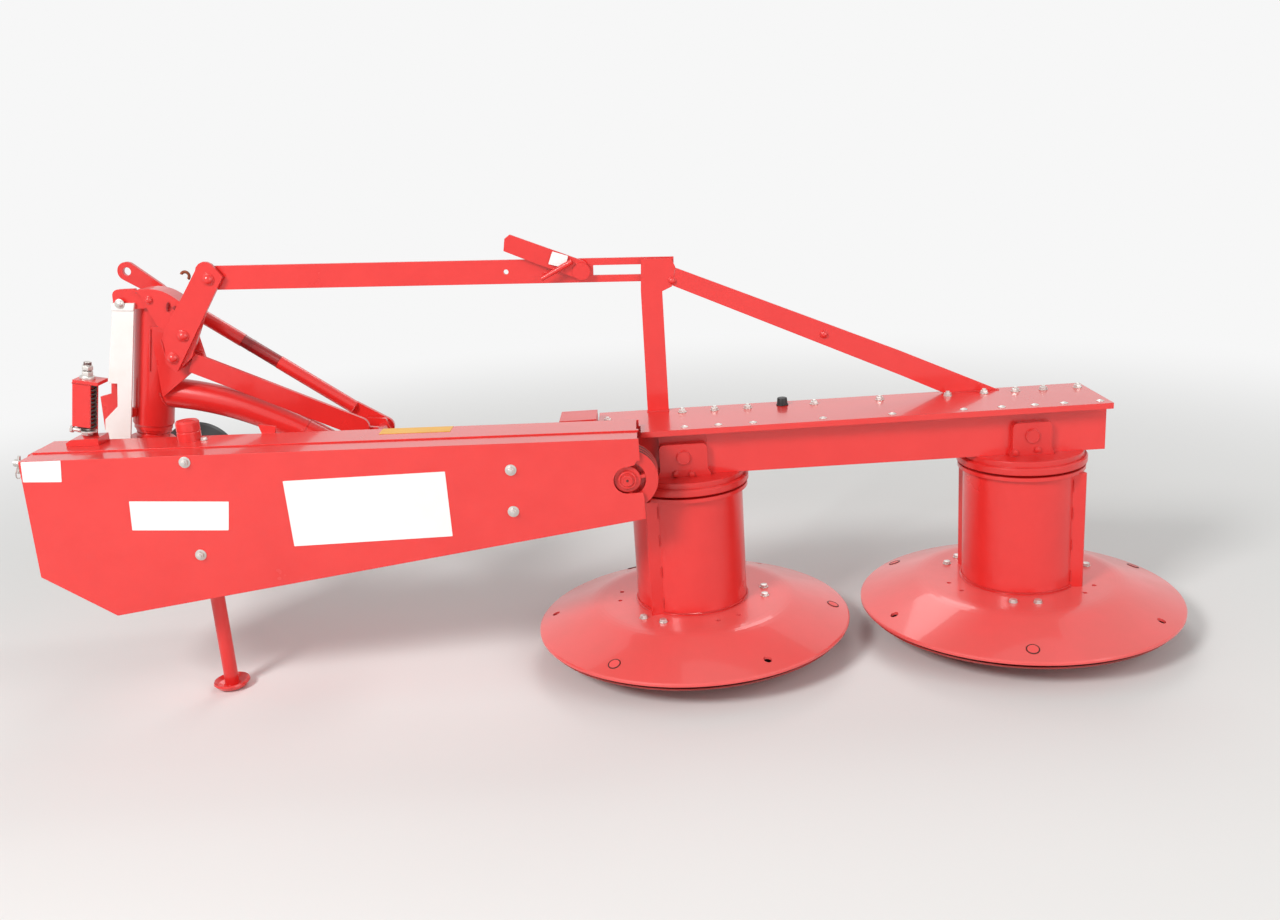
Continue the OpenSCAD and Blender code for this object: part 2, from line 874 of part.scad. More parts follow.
module latch_handle() {
    color(red) {
        upright([
            [-405, 1011], [-400, 1040], [-387, 1049], [-212, 974], [-203, 960], [-205, 945], [-225, 931],
            [-330, 976]
        ], lever_y - 3, 8);
        along_y(-222, 951, 21, lever_y - 7, tie_y - lever_y + 7);
        // rod that the spring hooks on, with an open end
        translate([-318, lever_y - 12, 940])
        rotate([0, 90 - atan2(976 - 940, 318 - 244), 0])
        difference() {
            cylinder(r = 6.5, h = 84);
            translate([0, 0, -1])
            cylinder(r = 4, h = 14);
        }
        along_y(-248, 974, 6, lever_y - 12, 10);
    }
}

// Headstock

module mast_shaft() {
    color(red)
    on_mast()
    rotate_extrude()
    polygon([
        [0, -75], [45, -75], [45, -29], [54, -29], [54, -17], [40, -17], [40, -3], [36, -3], [36, mast_len + 8],
        [0, mast_len + 8]
    ]);
}

module headstock_frame() {
    bar_w = 70;
    color(red)
    on_mast() {
        // side member: from the neck to the left, down and forward to the cross bar
        translate([-110, 15, -112])
        cube([110 - 28, 75, 36.95]);
        translate([-110, 15, hitch_w - 30])
        cube([50, 75, 160]);
        translate([-110, 90, hitch_w - 30])
        cube([50, hitch_v - 90 - bar_w / 2, 60]);
        // gusset in the side member's corner
        translate([-91, 88, 0])
        rotate([90, 0, 90])
        linear_extrude(12)
        polygon([[0, hitch_w + 28], [0, hitch_w + 120], [95, hitch_w + 28]]);
        // cross bar
        translate([hitch_u - hitch_half + 12, hitch_v - bar_w / 2, hitch_w - bar_w / 2])
        cube([2 * hitch_half - 24, bar_w, bar_w]);
        // end plates that carry the pins
        for (s = [-1, 1])
            translate([hitch_u + s * (hitch_half - 6) - 6, hitch_v, hitch_w])
            rotate([90, 0, 90])
            linear_extrude(12)
            polygon([[-45, -38], [-30, -58], [30, -58], [45, -38], [45, 28], [32, 40], [-32, 40], [-45, 28]]);
    }
}

module link_tower() {
    head = top_link_h;
    color(red)
    on_mast()
    for (s = [-1, 1])
        translate([hitch_u + s * 30 - 5, hitch_v, hitch_w])
        difference() {
            rotate([90, 0, 90])
            linear_extrude(10)
            polygon([
                [-35, 35], [-26, head - 14], [-16, head + 22], [0, head + 30], [16, head + 22], [26, head - 14],
                [35, 35]
            ]);
            translate([-20, 0, head])
            rotate([0, 90, 0])
            cylinder(r = top_link_r, h = 60);
        }
}

module hitch_pins() {
    color(zinc)
    on_mast()
    for (s = [-1, 1])
        translate([hitch_u + s * hitch_half, hitch_v, hitch_w])
        rotate([0, s * 90, 0])
        cylinder(r = hitch_pin_r, h = 54);
}

module drum_inner() { drum(0); }
module drum_outer() { drum(1); }
module disc_inner() { disc(0); }
module disc_outer() { disc(1); }
module knives_inner() { knives(0); }
module knives_outer() { knives(1); }
module skid_inner() { skid(0); }
module skid_outer() { skid(1); }

place() {
    beam();
    cover();
    cover_plug();
    bearing_blocks();
    gearbox();
    drum_flanges();
    post();
    brace();
    guard_face();
    guard_back();
    belts();
    input_housing();
    input_shield();
    tensioner();
    tensioner_rod();
    leg_sleeve();
    hinge_bracket();
    hinge_pin();
    drive_pulley();
    driven_pulley();
    parking_leg();
    mast_sleeve();
    arm_tube();
    arm_end();
    flat_strut();
    gusset();
    catch_plate();
    lever_plate();
    hook_plate();
    hook_bracket();
    stay_rod();
    tie_bar();
    latch_handle();
    mast_shaft();
    headstock_frame();
    link_tower();
    hitch_pins();
    drum_inner();
    drum_outer();
    disc_inner();
    disc_outer();
    knives_inner();
    knives_outer();
    skid_inner();
    skid_outer();
}
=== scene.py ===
"""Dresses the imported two-drum mower: a finish on every CAD node, and the small pieces that ride on them.

Places are in millimetres from the inner drum's axis on the ground: +x to the outer drum, +y to the tractor, +z up.
"""

import json
import logging
import math
from collections.abc import Iterable, Sequence
from dataclasses import dataclass, field
from enum import Enum
from functools import partial

import bmesh
import bpy
from mathutils import Matrix, Vector


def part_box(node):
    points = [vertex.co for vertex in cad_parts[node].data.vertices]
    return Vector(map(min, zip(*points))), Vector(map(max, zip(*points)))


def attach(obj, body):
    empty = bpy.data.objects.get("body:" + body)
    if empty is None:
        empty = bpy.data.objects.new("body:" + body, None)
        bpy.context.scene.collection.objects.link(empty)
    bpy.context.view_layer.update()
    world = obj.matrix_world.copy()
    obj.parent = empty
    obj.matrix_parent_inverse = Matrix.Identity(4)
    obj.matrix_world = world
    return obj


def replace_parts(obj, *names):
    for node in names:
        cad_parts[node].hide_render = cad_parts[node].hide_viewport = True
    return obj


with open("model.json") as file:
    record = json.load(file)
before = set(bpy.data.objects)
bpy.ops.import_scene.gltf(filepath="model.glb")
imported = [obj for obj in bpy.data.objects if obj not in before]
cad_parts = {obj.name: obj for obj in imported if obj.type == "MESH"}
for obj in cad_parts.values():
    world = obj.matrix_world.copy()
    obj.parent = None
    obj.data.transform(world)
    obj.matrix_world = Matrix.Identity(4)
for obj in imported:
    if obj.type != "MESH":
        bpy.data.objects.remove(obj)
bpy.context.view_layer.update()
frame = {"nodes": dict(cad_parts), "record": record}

MM = 0.001
# points nearer than this, in millimetres, are one
SAME = 1e-3
LOG = logging.getLogger("mower")
Point = Sequence[float]
Pair = tuple[float, float]
Triple = tuple[float, float, float]
UP: Triple = (0.0, 0.0, 1.0)
BACK: Triple = (0.0, -1.0, 0.0)
FORE: Triple = (0.0, 1.0, 0.0)
RIGHT: Triple = (1.0, 0.0, 0.0)
# place and height of the two pulleys' axes
DRIVE_AXIS: Pair = (-1320.0, 474.0)
DRIVEN_AXIS: Pair = (-137.0, 512.0)


class Body(Enum):
    """The moving bodies of the frame."""

    CUTTER = "cutter_frame"
    DRIVE = "drive_pulley"
    DRIVEN = "driven_pulley"
    LEG = "parking_leg"
    ARM = "arm"
    TIE = "tie_bar"
    HEADSTOCK = "headstock"
    DRUM_INNER = "drum_inner"
    DRUM_OUTER = "drum_outer"
    SKID_INNER = "skid_inner"
    SKID_OUTER = "skid_outer"


class Slot(Enum):
    """The record's material slots."""

    RED = "red_paint"
    ZINC = "zinc_plate"
    PLASTIC = "black_plastic"
    WHITE = "white_plate"
    RUBBER = "belt_rubber"
    STEEL = "blade_steel"


def joint_place(name: str) -> Vector:
    """Place of a joint of the frame.

    Args:
        name: the joint's name in the record.

    Returns:
        Its point in the row frame, in metres.
    """
    for joint in frame["record"]["behaviour"]["joints"]:
        if joint["name"] == name:
            return Vector(joint["pos_m"])
    raise KeyError(name)


DATUM = Vector((joint_place("drum_inner_spin").x, joint_place("drum_inner_spin").y, 0.0))
DRUM_SPACING = (joint_place("drum_outer_spin").x - DATUM.x) / MM


def place(point: Point) -> Vector:
    """Row-frame place, in metres, of a point in millimetres from the datum."""
    return DATUM + Vector(point) * MM


def top_of(node: str) -> float:
    """Height of a CAD node's highest point, in millimetres."""
    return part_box(node)[1][2] / MM


def linear(code: str) -> tuple[float, float, float, float]:
    """Turns an sRGB colour to linear.

    Args:
        code: hex code such as #C8102E.

    Returns:
        Red, green, blue and an alpha of 1.
    """
    parts = [int(code[k : k + 2], 16) / 255 for k in (1, 3, 5)]
    toe, bend, power = 0.04045, 0.055, 2.4
    return (*(v / 12.92 if v <= toe else ((v + bend) / (1 + bend)) ** power for v in parts), 1.0)


# Finishes


def add_node(
    tree: bpy.types.NodeTree,
    kind: str,
    settings: dict[str | int, object] | None = None,
    links: dict[str | int, bpy.types.NodeSocket | bpy.types.Node] | None = None,
) -> bpy.types.Node:
    """Adds a shader node.

    Args:
        tree: the material's or world's node tree.
        kind: the node's type name.
        settings: values by socket name or number, or by attribute name with a leading dot.
        links: what feeds each input, by the input's name or number; a node gives its first output.

    Returns:
        The new node.
    """
    made = tree.nodes.new(kind)
    for key, value in (settings or {}).items():
        if isinstance(key, str) and key.startswith("."):
            setattr(made, key[1:], value)
        else:
            made.inputs[key].default_value = value
    for key, feed in (links or {}).items():
        tree.links.new(feed.outputs[0] if isinstance(feed, bpy.types.Node) else feed, made.inputs[key])
    return made


def bare_tree(owner: bpy.types.Material | bpy.types.World) -> bpy.types.NodeTree:
    """Gives a material or a world an empty node tree.

    Args:
        owner: the material or world.

    Returns:
        Its tree.
    """
    owner.use_nodes = True
    owner.node_tree.nodes.clear()
    return owner.node_tree


@dataclass(frozen=True)
class Finish:
    """A surface: a base colour that varies softly, a fine relief, and marks of use.

    Attributes:
        name: what the surface is.
        slot: the record's slot it belongs to.
        colour: main colour.
        shade: second colour that it drifts to.
        metallic: 1 for bare or plated metal.
        rough: lowest and highest roughness.
        coat: weight of a clear gloss layer.
        grain_mm: size of the relief's bumps.
        grain_depth_mm: depth of the relief.
        drift_mm: size of the colour's drift.
        soil: colour of the dust that settles on faces that look up.
        soil_amount: how much of it, from 0 to 1.
        edge_mm: radius that edges are seen to have.
        streak: how much longer than wide the relief is, along x.
        paint_above_mm: height over which the piece is painted, or 0 for no paint.
        paint: colour of that paint; by default the discs' red, made paler as painted sky reflection.
    """

    name: str
    slot: Slot
    colour: str
    shade: str
    metallic: float = 0.0
    rough: Pair = (0.25, 0.4)
    coat: float = 0.0
    grain_mm: float = 6.0
    grain_depth_mm: float = 0.05
    drift_mm: float = 140.0
    soil: str = "#A98C78"
    soil_amount: float = 0.0
    edge_mm: float = 1.5
    streak: float = 1.0
    paint_above_mm: float = 0.0
    # the default is the discs' paler red, which holds painted sky reflection
    paint: str = "#EE5A58"

    def material(self) -> bpy.types.Material:
        """Makes this finish's material on first use.

        Returns:
            The material.
        """
        if self.name in bpy.data.materials:
            return bpy.data.materials[self.name]
        made = bpy.data.materials.new(self.name)
        node = partial(add_node, bare_tree(made))
        where = node("ShaderNodeTexCoord").outputs["Object"]
        fine = node("ShaderNodeMapping", {"Scale": (1 / self.streak, 1.0, 1.0)}, {"Vector": where})
        bumps = {"Scale": 1 / (self.grain_mm * MM), "Detail": 3.0, "Roughness": 0.55}
        grain = node("ShaderNodeTexNoise", bumps, {"Vector": fine})
        clouds = {"Scale": 1 / (self.drift_mm * MM), "Detail": 4.0, "Roughness": 0.6}
        drift = node("ShaderNodeTexNoise", clouds, {"Vector": where})
        # noise stays within these two values nearly everywhere
        spread = {"From Min": 0.25, "From Max": 0.75}
        tone = node("ShaderNodeMapRange", spread, {"Value": drift})
        tints = {".data_type": "RGBA", 6: linear(self.colour), 7: linear(self.shade)}
        colour = node("ShaderNodeMix", tints, {0: tone}).outputs[2]
        if self.soil_amount:
            # dust lies where the face looks up, in soft patches
            face = node("ShaderNodeNewGeometry").outputs["Normal"]
            up = node("ShaderNodeSeparateXYZ", links={0: face}).outputs[2]
            slope = {"From Min": 0.3, "From Max": 1.0, "To Max": self.soil_amount}
            lies = node("ShaderNodeMapRange", slope, {"Value": up})
            patch = node("ShaderNodeMath", {".operation": "MULTIPLY"}, {0: lies, 1: tone})
            dust = {".data_type": "RGBA", 7: linear(self.soil)}
            colour = node("ShaderNodeMix", dust, {0: patch, 6: colour}).outputs[2]
        bare = None
        if self.paint_above_mm:
            # the heads stand over this height and were painted with the disc
            height = node("ShaderNodeSeparateXYZ", links={0: where}).outputs[2]
            bare = node("ShaderNodeMath", {".operation": "LESS_THAN", 1: self.paint_above_mm * MM}, {0: height})
            paint = {".data_type": "RGBA", 6: linear(self.paint)}
            colour = node("ShaderNodeMix", paint, {0: bare, 7: colour}).outputs[2]
        matt = spread | {"To Min": self.rough[0], "To Max": self.rough[1]}
        gloss = node("ShaderNodeMapRange", matt, {"Value": drift})
        soft = node("ShaderNodeBevel", {".samples": 4, "Radius": self.edge_mm * MM})
        depth = {"Strength": 1.0, "Distance": self.grain_depth_mm * MM}
        relief = node("ShaderNodeBump", depth, {"Height": grain, "Normal": soft})
        shader = node(
            "ShaderNodeBsdfPrincipled",
            {"Metallic": self.metallic, "Coat Weight": self.coat, "Coat Roughness": 0.06},
            {"Base Color": colour, "Roughness": gloss, "Normal": relief} | ({"Metallic": bare} if bare else {}),
        )
        node("ShaderNodeOutputMaterial", links={"Surface": shader})
        made.diffuse_color = linear(self.colour)
        return made

    def on(self, *nodes: str) -> None:
        """Gives this finish to CAD nodes.

        Args:
            nodes: names of the CAD nodes.
        """
        for name in nodes:
            slots = frame["nodes"][name].data.materials
            if not slots:
                slots.append(None)
            for k in range(len(slots)):
                slots[k] = self.material()


# Gloss enamel sprayed over sheet: bright, even red with a faint orange peel and sharp sky reflections.
PANEL_RED = Finish(
    "red_enamel_on_sheet", Slot.RED, "#E8332F", "#E02C29", rough=(0.22, 0.28), coat=0.5, soil_amount=0.06
)
# The same enamel on tubes and flat bar, put on thicker: runs and a softer gloss.
BAR_RED = Finish(
    "red_enamel_on_bar", Slot.RED, "#E6312D", "#DB2926", rough=(0.26, 0.34), coat=0.4, grain_mm=9,
    grain_depth_mm=0.09,
)
# Enamel over a rough casting: the sand texture shows through as a pebbled gloss.
CAST_RED = Finish(
    "red_enamel_on_casting", Slot.RED, "#E02F2B", "#D22724", rough=(0.3, 0.4), coat=0.3, grain_mm=4,
    grain_depth_mm=0.25,
)
# Enamel on the spun discs: long faint ripples from the press and a dusting of dry grass on top.
# its red is paler and pinker than the other reds: painted sky reflection on the discs' upturned faces
DISC_RED_WITH_PAINTED_SHEEN = Finish(
    "red_enamel_on_spun_disc_with_painted_sheen", Slot.RED, "#EE5A58", "#E85250", rough=(0.28, 0.36), coat=0.4, grain_mm=40,
    grain_depth_mm=0.25, soil_amount=0.12, edge_mm=1.0,
)
# Thin enamel worn by the ground: duller and browner on the skid plates.
SKID_RED = Finish(
    "worn_red_enamel_on_skid", Slot.RED, "#B92320", "#8A2A22", rough=(0.35, 0.55), coat=0.1, grain_mm=12,
    grain_depth_mm=0.2, soil_amount=0.2,
)
# Darker red for painted shade: on the stay's breakaway sleeve, where the long bar's shadow falls, and on the small
# spring that sits in the gusset's shade.
PAINTED_SHADE_RED = Finish("painted_shade_red_enamel", Slot.RED, "#A31A1C", "#8C1417", rough=(0.3, 0.4), coat=0.3)
# Zinc on fasteners, gone dull outdoors: pale, soft metal that takes up the red round it.
ZINC = Finish(
    "dulled_zinc_plate", Slot.ZINC, "#DDD9D4", "#C6C2BD", metallic=0.75, rough=(0.32, 0.46), grain_mm=3,
    grain_depth_mm=0.03, drift_mm=12, edge_mm=0.8,
)
# Spring wire with a dull grey phosphate coat.
SPRING = Finish(
    "phosphated_spring_wire", Slot.STEEL, "#5E5A57", "#46413E", metallic=0.8, rough=(0.4, 0.55), grain_mm=2,
    drift_mm=15, edge_mm=0.5,
)
# Hardened blades: dark mill scale and lengthwise grinding marks.
BLADE = Finish(
    "ground_blade_steel", Slot.STEEL, "#77716B", "#5A4F47", metallic=1.0, rough=(0.35, 0.5), grain_mm=1.5,
    grain_depth_mm=0.08, drift_mm=25, edge_mm=0.5, streak=6, paint_above_mm=84,
)
# Moulded plastic: near black, satin, with a fine moulded grain drawn coarser than it is.
PLASTIC = Finish(
    "black_moulded_plastic", Slot.PLASTIC, "#191919", "#121212", rough=(0.4, 0.55), grain_mm=2, grain_depth_mm=0.05
)
# Belt rubber: brown-black cloth-covered rubber, dull, with a fine nap.
RUBBER = Finish(
    "wrapped_belt_rubber", Slot.RUBBER, "#62302A", "#43211D", rough=(0.75, 0.9), grain_mm=2, grain_depth_mm=0.15,
    drift_mm=40,
)
# White enamel on the hook plate: clean white that drifts a little in tone.
WHITE = Finish(
    "white_enamel_on_plate", Slot.WHITE, "#F7F6F3", "#ECE9E3", rough=(0.28, 0.4), coat=0.3, drift_mm=90
)
# Blank vinyl labels: smooth bright white film.
VINYL = Finish(
    "blank_white_vinyl", Slot.WHITE, "#F4F4F2", "#EDEDEA", rough=(0.3, 0.38), grain_depth_mm=0.01, edge_mm=0.3
)
# Yellow marking film on the guard's rear edge.
YELLOW = Finish(
    "yellow_marking_film", Slot.WHITE, "#F0B41E", "#E8A612", rough=(0.32, 0.42), grain_depth_mm=0.01, edge_mm=0.3
)
# Cut threads of a painted rod: dark, oily, with a rim of red where the spray caught them.
# the same dark steel also serves as painted shade: rings in the gaps round the knife heads and a disc in the driven
# hub's dimple
THREAD_AND_PAINTED_SHADE = Finish(
    "oily_thread_and_painted_shade", Slot.STEEL, "#4A3A36", "#6E2A24", metallic=0.6, rough=(0.35, 0.5), grain_mm=2, drift_mm=8
)
# Bare rusty rod: matt orange-brown with darker pits.
RUST = Finish(
    "rusty_rod", Slot.STEEL, "#9A4F30", "#6F3621", rough=(0.7, 0.9), grain_mm=1.5, grain_depth_mm=0.2, drift_mm=8
)


# Pieces


def toward(axis: Point, spin: float = 0.0) -> Matrix:
    """Turn that carries +z to an axis, after a spin about z.

    Args:
        axis: where +z goes.
        spin: degrees about z first.

    Returns:
        The turn as a 4x4 matrix.
    """
    turn = Vector(axis).to_track_quat("Z", "Y").to_matrix().to_4x4()
    return turn @ Matrix.Rotation(math.radians(spin), 4, "Z")


@dataclass
class Piece:
    """One new piece, shaped in millimetres from the datum.

    Attributes:
        name: the object's name.
        body: the body it rides on.
        finish: its surface.
        smooth: largest angle, in degrees, over which faces are shaded as one.
        mesh: its shape so far.
    """

    name: str
    body: Body
    finish: Finish
    smooth: float = 35.0
    mesh: bmesh.types.BMesh = field(default_factory=bmesh.new)

    def turned(self, at: Point, axis: Point = UP, spin: float = 0.0) -> Matrix:
        """Matrix that puts a shape made round z at a point along an axis."""
        return Matrix.Translation(Vector(at)) @ toward(axis, spin)

    def rod(
        self, at: Point, axis: Point, r: float, h: float, sides: int = 24, spin: float = 0.0,
        r_end: float | None = None, edge: float = 0.0,
    ) -> None:
        """A closed cylinder or cone from a point along an axis.

        Args:
            at: centre of its first end.
            axis: its direction.
            r: radius at the first end.
            h: length.
            sides: number of sides.
            spin: turn about its axis, in degrees.
            r_end: radius at the far end, where it differs.
            edge: bevel of the far end's rim.
        """
        move = self.turned(at, axis, spin) @ Matrix.Translation((0, 0, h / 2))
        made = bmesh.ops.create_cone(
            self.mesh, cap_ends=True, segments=sides, radius1=r, radius2=r if r_end is None else r_end, depth=h,
            matrix=move,
        )["verts"]
        if edge:
            axis_v = Vector(axis).normalized()
            far = max(v.co.dot(axis_v) for v in made)
            rim = {
                e for v in made for e in v.link_edges if all(abs(w.co.dot(axis_v) - far) < SAME for w in e.verts)
            }
            bmesh.ops.bevel(
                self.mesh, geom=list(rim), offset=edge, offset_type="OFFSET", segments=2, profile=0.5,
                affect="EDGES", material=-1,
            )

    def dome(self, at: Point, axis: Point, r: float, h: float, sides: int = 20) -> None:
        """A closed spherical cap that stands on a point along an axis.

        Args:
            at: centre of its foot.
            axis: the way that it rises.
            r: radius of its foot.
            h: its height.
            sides: sections round the axis.
        """
        ball = (r * r + h * h) / (2 * h)
        steps = 5
        rise = math.acos(max(-1.0, (ball - h) / ball))
        turn = self.turned(at, axis)
        rim = [
            self.mesh.verts.new(turn @ Vector((ball * math.sin(a), 0, ball * math.cos(a) - ball + h)))
            for a in (rise * (1 - k / steps) for k in range(steps + 1))
        ]
        edges = [self.mesh.edges.new(pair) for pair in zip(rim, rim[1:])]
        bmesh.ops.spin(
            self.mesh, geom=rim + edges, cent=Vector(at), axis=Vector(axis).normalized(), angle=math.tau,
            steps=sides, use_merge=True,
        )

    def lathe(self, profile: Sequence[Pair], x: float, steps: int = 96) -> None:
        """A closed ring turned about an upright axis over the machine's middle line.

        Args:
            profile: radius and height of each corner of its section, in order.
            x: place of the axis.
            steps: sections round the axis.
        """
        loop = [self.mesh.verts.new((x + r, 0, z)) for r, z in profile]
        edges = [self.mesh.edges.new(pair) for pair in zip(loop, loop[1:] + loop[:1])]
        bmesh.ops.spin(
            self.mesh, geom=loop + edges, cent=(x, 0, 0), axis=UP, angle=math.tau, steps=steps, use_merge=True
        )

    def ring(
        self, at: Point, axis: Point, big: float, wire: float, steps: int = 40, sweep: float = 360.0,
        start: float = 0.0, pitch: float = 0.0,
    ) -> None:
        """A round ring of wire, or an arc of one or a coil, with closed ends.

        Args:
            at: its centre.
            axis: its axis.
            big: radius to the wire's centre.
            wire: radius of the wire.
            steps: sections round the ring.
            sweep: how far it goes round, in degrees.
            start: where it starts, in degrees.
            pitch: how far a coil rises on each turn.
        """
        turn, way = self.turned(at, axis, start), Vector(axis).normalized()
        whole = sweep == 360 and not pitch
        circle = bmesh.ops.create_circle(
            self.mesh, segments=8, radius=wire, cap_ends=not whole,
            matrix=turn @ Matrix.Translation((big, 0, 0)) @ Matrix.Rotation(math.pi / 2, 4, "X"),
        )["verts"]
        parts = {e for v in circle for e in v.link_edges} if whole else {f for v in circle for f in v.link_faces}
        bmesh.ops.spin(
            self.mesh, geom=(circle if whole else []) + list(parts), cent=Vector(at), axis=way,
            dvec=way * (pitch * sweep / 360 / steps), angle=math.radians(sweep), steps=steps, use_merge=whole,
        )

    def coil(self, at: Point, axis: Point, big: float, wire: float, pitch: float, turns: float) -> None:
        """A coil spring that stands on a point along an axis, by the sizes of its ring and its number of turns."""
        foot = Vector(at) + Vector(axis).normalized() * wire
        self.ring(foot, axis, big, wire, int(24 * turns), 360 * turns, pitch=pitch)

    def push(self, faces: list[bmesh.types.BMFace], way: Point) -> None:
        """Pushes a copy of some faces out by a vector, with walls between."""
        grown = bmesh.ops.extrude_face_region(self.mesh, geom=faces, use_keep_orig=True)["geom"]
        bmesh.ops.translate(self.mesh, verts=[g for g in grown if isinstance(g, bmesh.types.BMVert)], vec=Vector(way))

    def plate(self, outline: Iterable[Point], thick: Point, corner: float = 0.0) -> None:
        """A flat plate from its corners, pushed out by a vector.

        Args:
            outline: its corners in order.
            thick: the way and distance that it is pushed out.
            corner: radius of its corners.
        """
        before = set(self.mesh.faces)
        verts = [self.mesh.verts.new(Vector(p)) for p in outline]
        self.mesh.faces.new(verts)
        if corner:
            bmesh.ops.bevel(
                self.mesh, geom=verts, offset=corner, offset_type="OFFSET", segments=4, profile=0.5,
                affect="VERTICES", material=-1,
            )
        self.push([f for f in self.mesh.faces if f not in before], thick)

    def belt(self, wheels: Sequence[Triple], thick: float, y: float, width: float) -> None:
        """A closed belt round two wheels whose axes lie fore and aft.

        Args:
            wheels: place, height and outer radius of the belt at the left and the right wheel.
            thick: thickness of the belt.
            y: place of its rear face.
            width: its width.
        """
        (x0, z0, r0), (x1, z1, r1) = wheels
        tilt, lap = math.atan2(z1 - z0, x1 - x0), math.acos((r0 - r1) / math.hypot(x1 - x0, z1 - z0))
        steps = 40
        angles = [(wheels[0], tilt + lap + (math.tau - 2 * lap) * k / steps) for k in range(steps + 1)]
        angles += [(wheels[1], tilt - lap + 2 * lap * k / steps) for k in range(steps + 1)]
        loops = [
            [
                self.mesh.verts.new((x + (r - sunk) * math.cos(a), y, z + (r - sunk) * math.sin(a)))
                for (x, z, r), a in angles
            ]
            for sunk in (0, thick)
        ]
        rims = [self.mesh.edges.new((loop[k - 1], loop[k])) for loop in loops for k in range(len(loop))]
        self.push(bmesh.ops.bridge_loops(self.mesh, edges=rims)["faces"], (0, width, 0))

    def bead(self, path: Sequence[Point], r: float = 4.0) -> None:
        """A weld bead: overlapping ripples along a line of points.

        Args:
            path: the points that the seam goes through.
            r: radius of the bead.
        """
        for a, b in zip(path, path[1:]):
            a_v, b_v = Vector(a), Vector(b)
            count = max(1, round((b_v - a_v).length / (r * 1.1)))
            turn = toward(b_v - a_v) @ Matrix.Diagonal((1.0, 1.0, 0.75, 1.0))
            for k in range(count + 1):
                bmesh.ops.create_icosphere(
                    self.mesh, subdivisions=1, radius=r, matrix=Matrix.Translation(a_v.lerp(b_v, k / count)) @ turn
                )

    def arc_bead(
        self, at: Point, axis: Point, big: float, r: float = 4.0, start: float = 0.0,
        sweep: float = 360.0,
    ) -> None:
        """A weld bead round a circle or part of one.

        Args:
            at: the circle's centre.
            axis: its axis.
            big: its radius.
            r: radius of the bead.
            start: where the bead starts, in degrees.
            sweep: how far it goes round.
        """
        turn = self.turned(at, axis)
        count = max(6, round(sweep / 12))
        angles = (math.radians(start + sweep * k / count) for k in range(count + 1))
        self.bead([turn @ Vector((big * math.cos(a), big * math.sin(a), 0)) for a in angles], r)

    def done(self) -> bpy.types.Object:
        """Makes the object, dresses it and puts it on its body.

        Returns:
            The finished object.
        """
        bmesh.ops.remove_doubles(self.mesh, verts=self.mesh.verts, dist=SAME)
        bmesh.ops.recalc_face_normals(self.mesh, faces=self.mesh.faces)
        bmesh.ops.transform(self.mesh, matrix=Matrix.Translation(DATUM) @ Matrix.Scale(MM, 4), verts=self.mesh.verts)
        data = bpy.data.meshes.new(self.name)
        for face in self.mesh.faces:
            face.smooth = True
        limit = math.radians(self.smooth)
        for edge in self.mesh.edges:
            edge.smooth = len(edge.link_faces) == 2 and edge.calc_face_angle(math.pi) < limit
        self.mesh.to_mesh(data)
        self.mesh.free()
        made = bpy.data.objects.new(self.name, data)
        bpy.context.scene.collection.objects.link(made)
        data.materials.append(self.finish.material())
        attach(made, self.body.value)
        LOG.info("%s: %d faces on %s", self.name, len(data.polygons), self.body.value)
        return made


@dataclass(frozen=True)
class HexBolt:
    """A hexagon screw with its washer, by the thread's size.

    Attributes:
        thread: thread diameter in millimetres.
        stub: how far the thread stands past a nut, or 0 for a plain head.
    """

    thread: float
    stub: float = 0.0

    def add(self, piece: Piece, at: Point, axis: Point, spin: float = 0.0) -> None:
        """Adds washer, head and stub to a piece.

        Args:
            piece: what it is added to.
            at: the point on the surface.
            axis: the way that it faces.
            spin: turn of the flats, in degrees.
        """
        step = Vector(axis).normalized()
        base = Vector(at)
        # thickness of washer and head as shares of the thread's size, as the radii below
        washer, head = 0.18 * self.thread, 0.62 * self.thread
        piece.rod(base, axis, 1.05 * self.thread, washer, sides=20)
        piece.rod(base + step * washer, axis, 0.92 * self.thread, head, sides=6, spin=spin, edge=0.08 * self.thread)
        if self.stub:
            piece.rod(base + step * (washer + head), axis, 0.5 * self.thread, self.stub, sides=14, edge=0.6)


M8 = HexBolt(8)
M10 = HexBolt(10)
M10_NUT = HexBolt(10, stub=4)
M16_NUT = HexBolt(16, stub=7)
M20 = HexBolt(20)


@dataclass(frozen=True)
class RoundHead:
    """A domed head on its washer, rounded over by thick paint.

    Attributes:
        r: radius of the head.
        h: height of the dome.
    """

    r: float
    h: float

    def add(self, piece: Piece, at: Point, axis: Point, spin: float = 0.0) -> None:
        """Adds washer and dome to a piece.

        Args:
            piece: what it is added to.
            at: the point on the surface.
            axis: the way that it faces.
            spin: turn about its axis, which a round head doesn't need.
        """
        step = Vector(axis).normalized()
        piece.rod(at, axis, self.r * 1.25, 2.5, sides=24, spin=spin, edge=0.6)
        piece.rod(Vector(at) + step * 2.5, axis, self.r, 2.5, sides=24)
        piece.dome(Vector(at) + step * 5, axis, self.r, self.h)


DOME_24 = RoundHead(12, 6)
DOME_16 = RoundHead(8, 4)


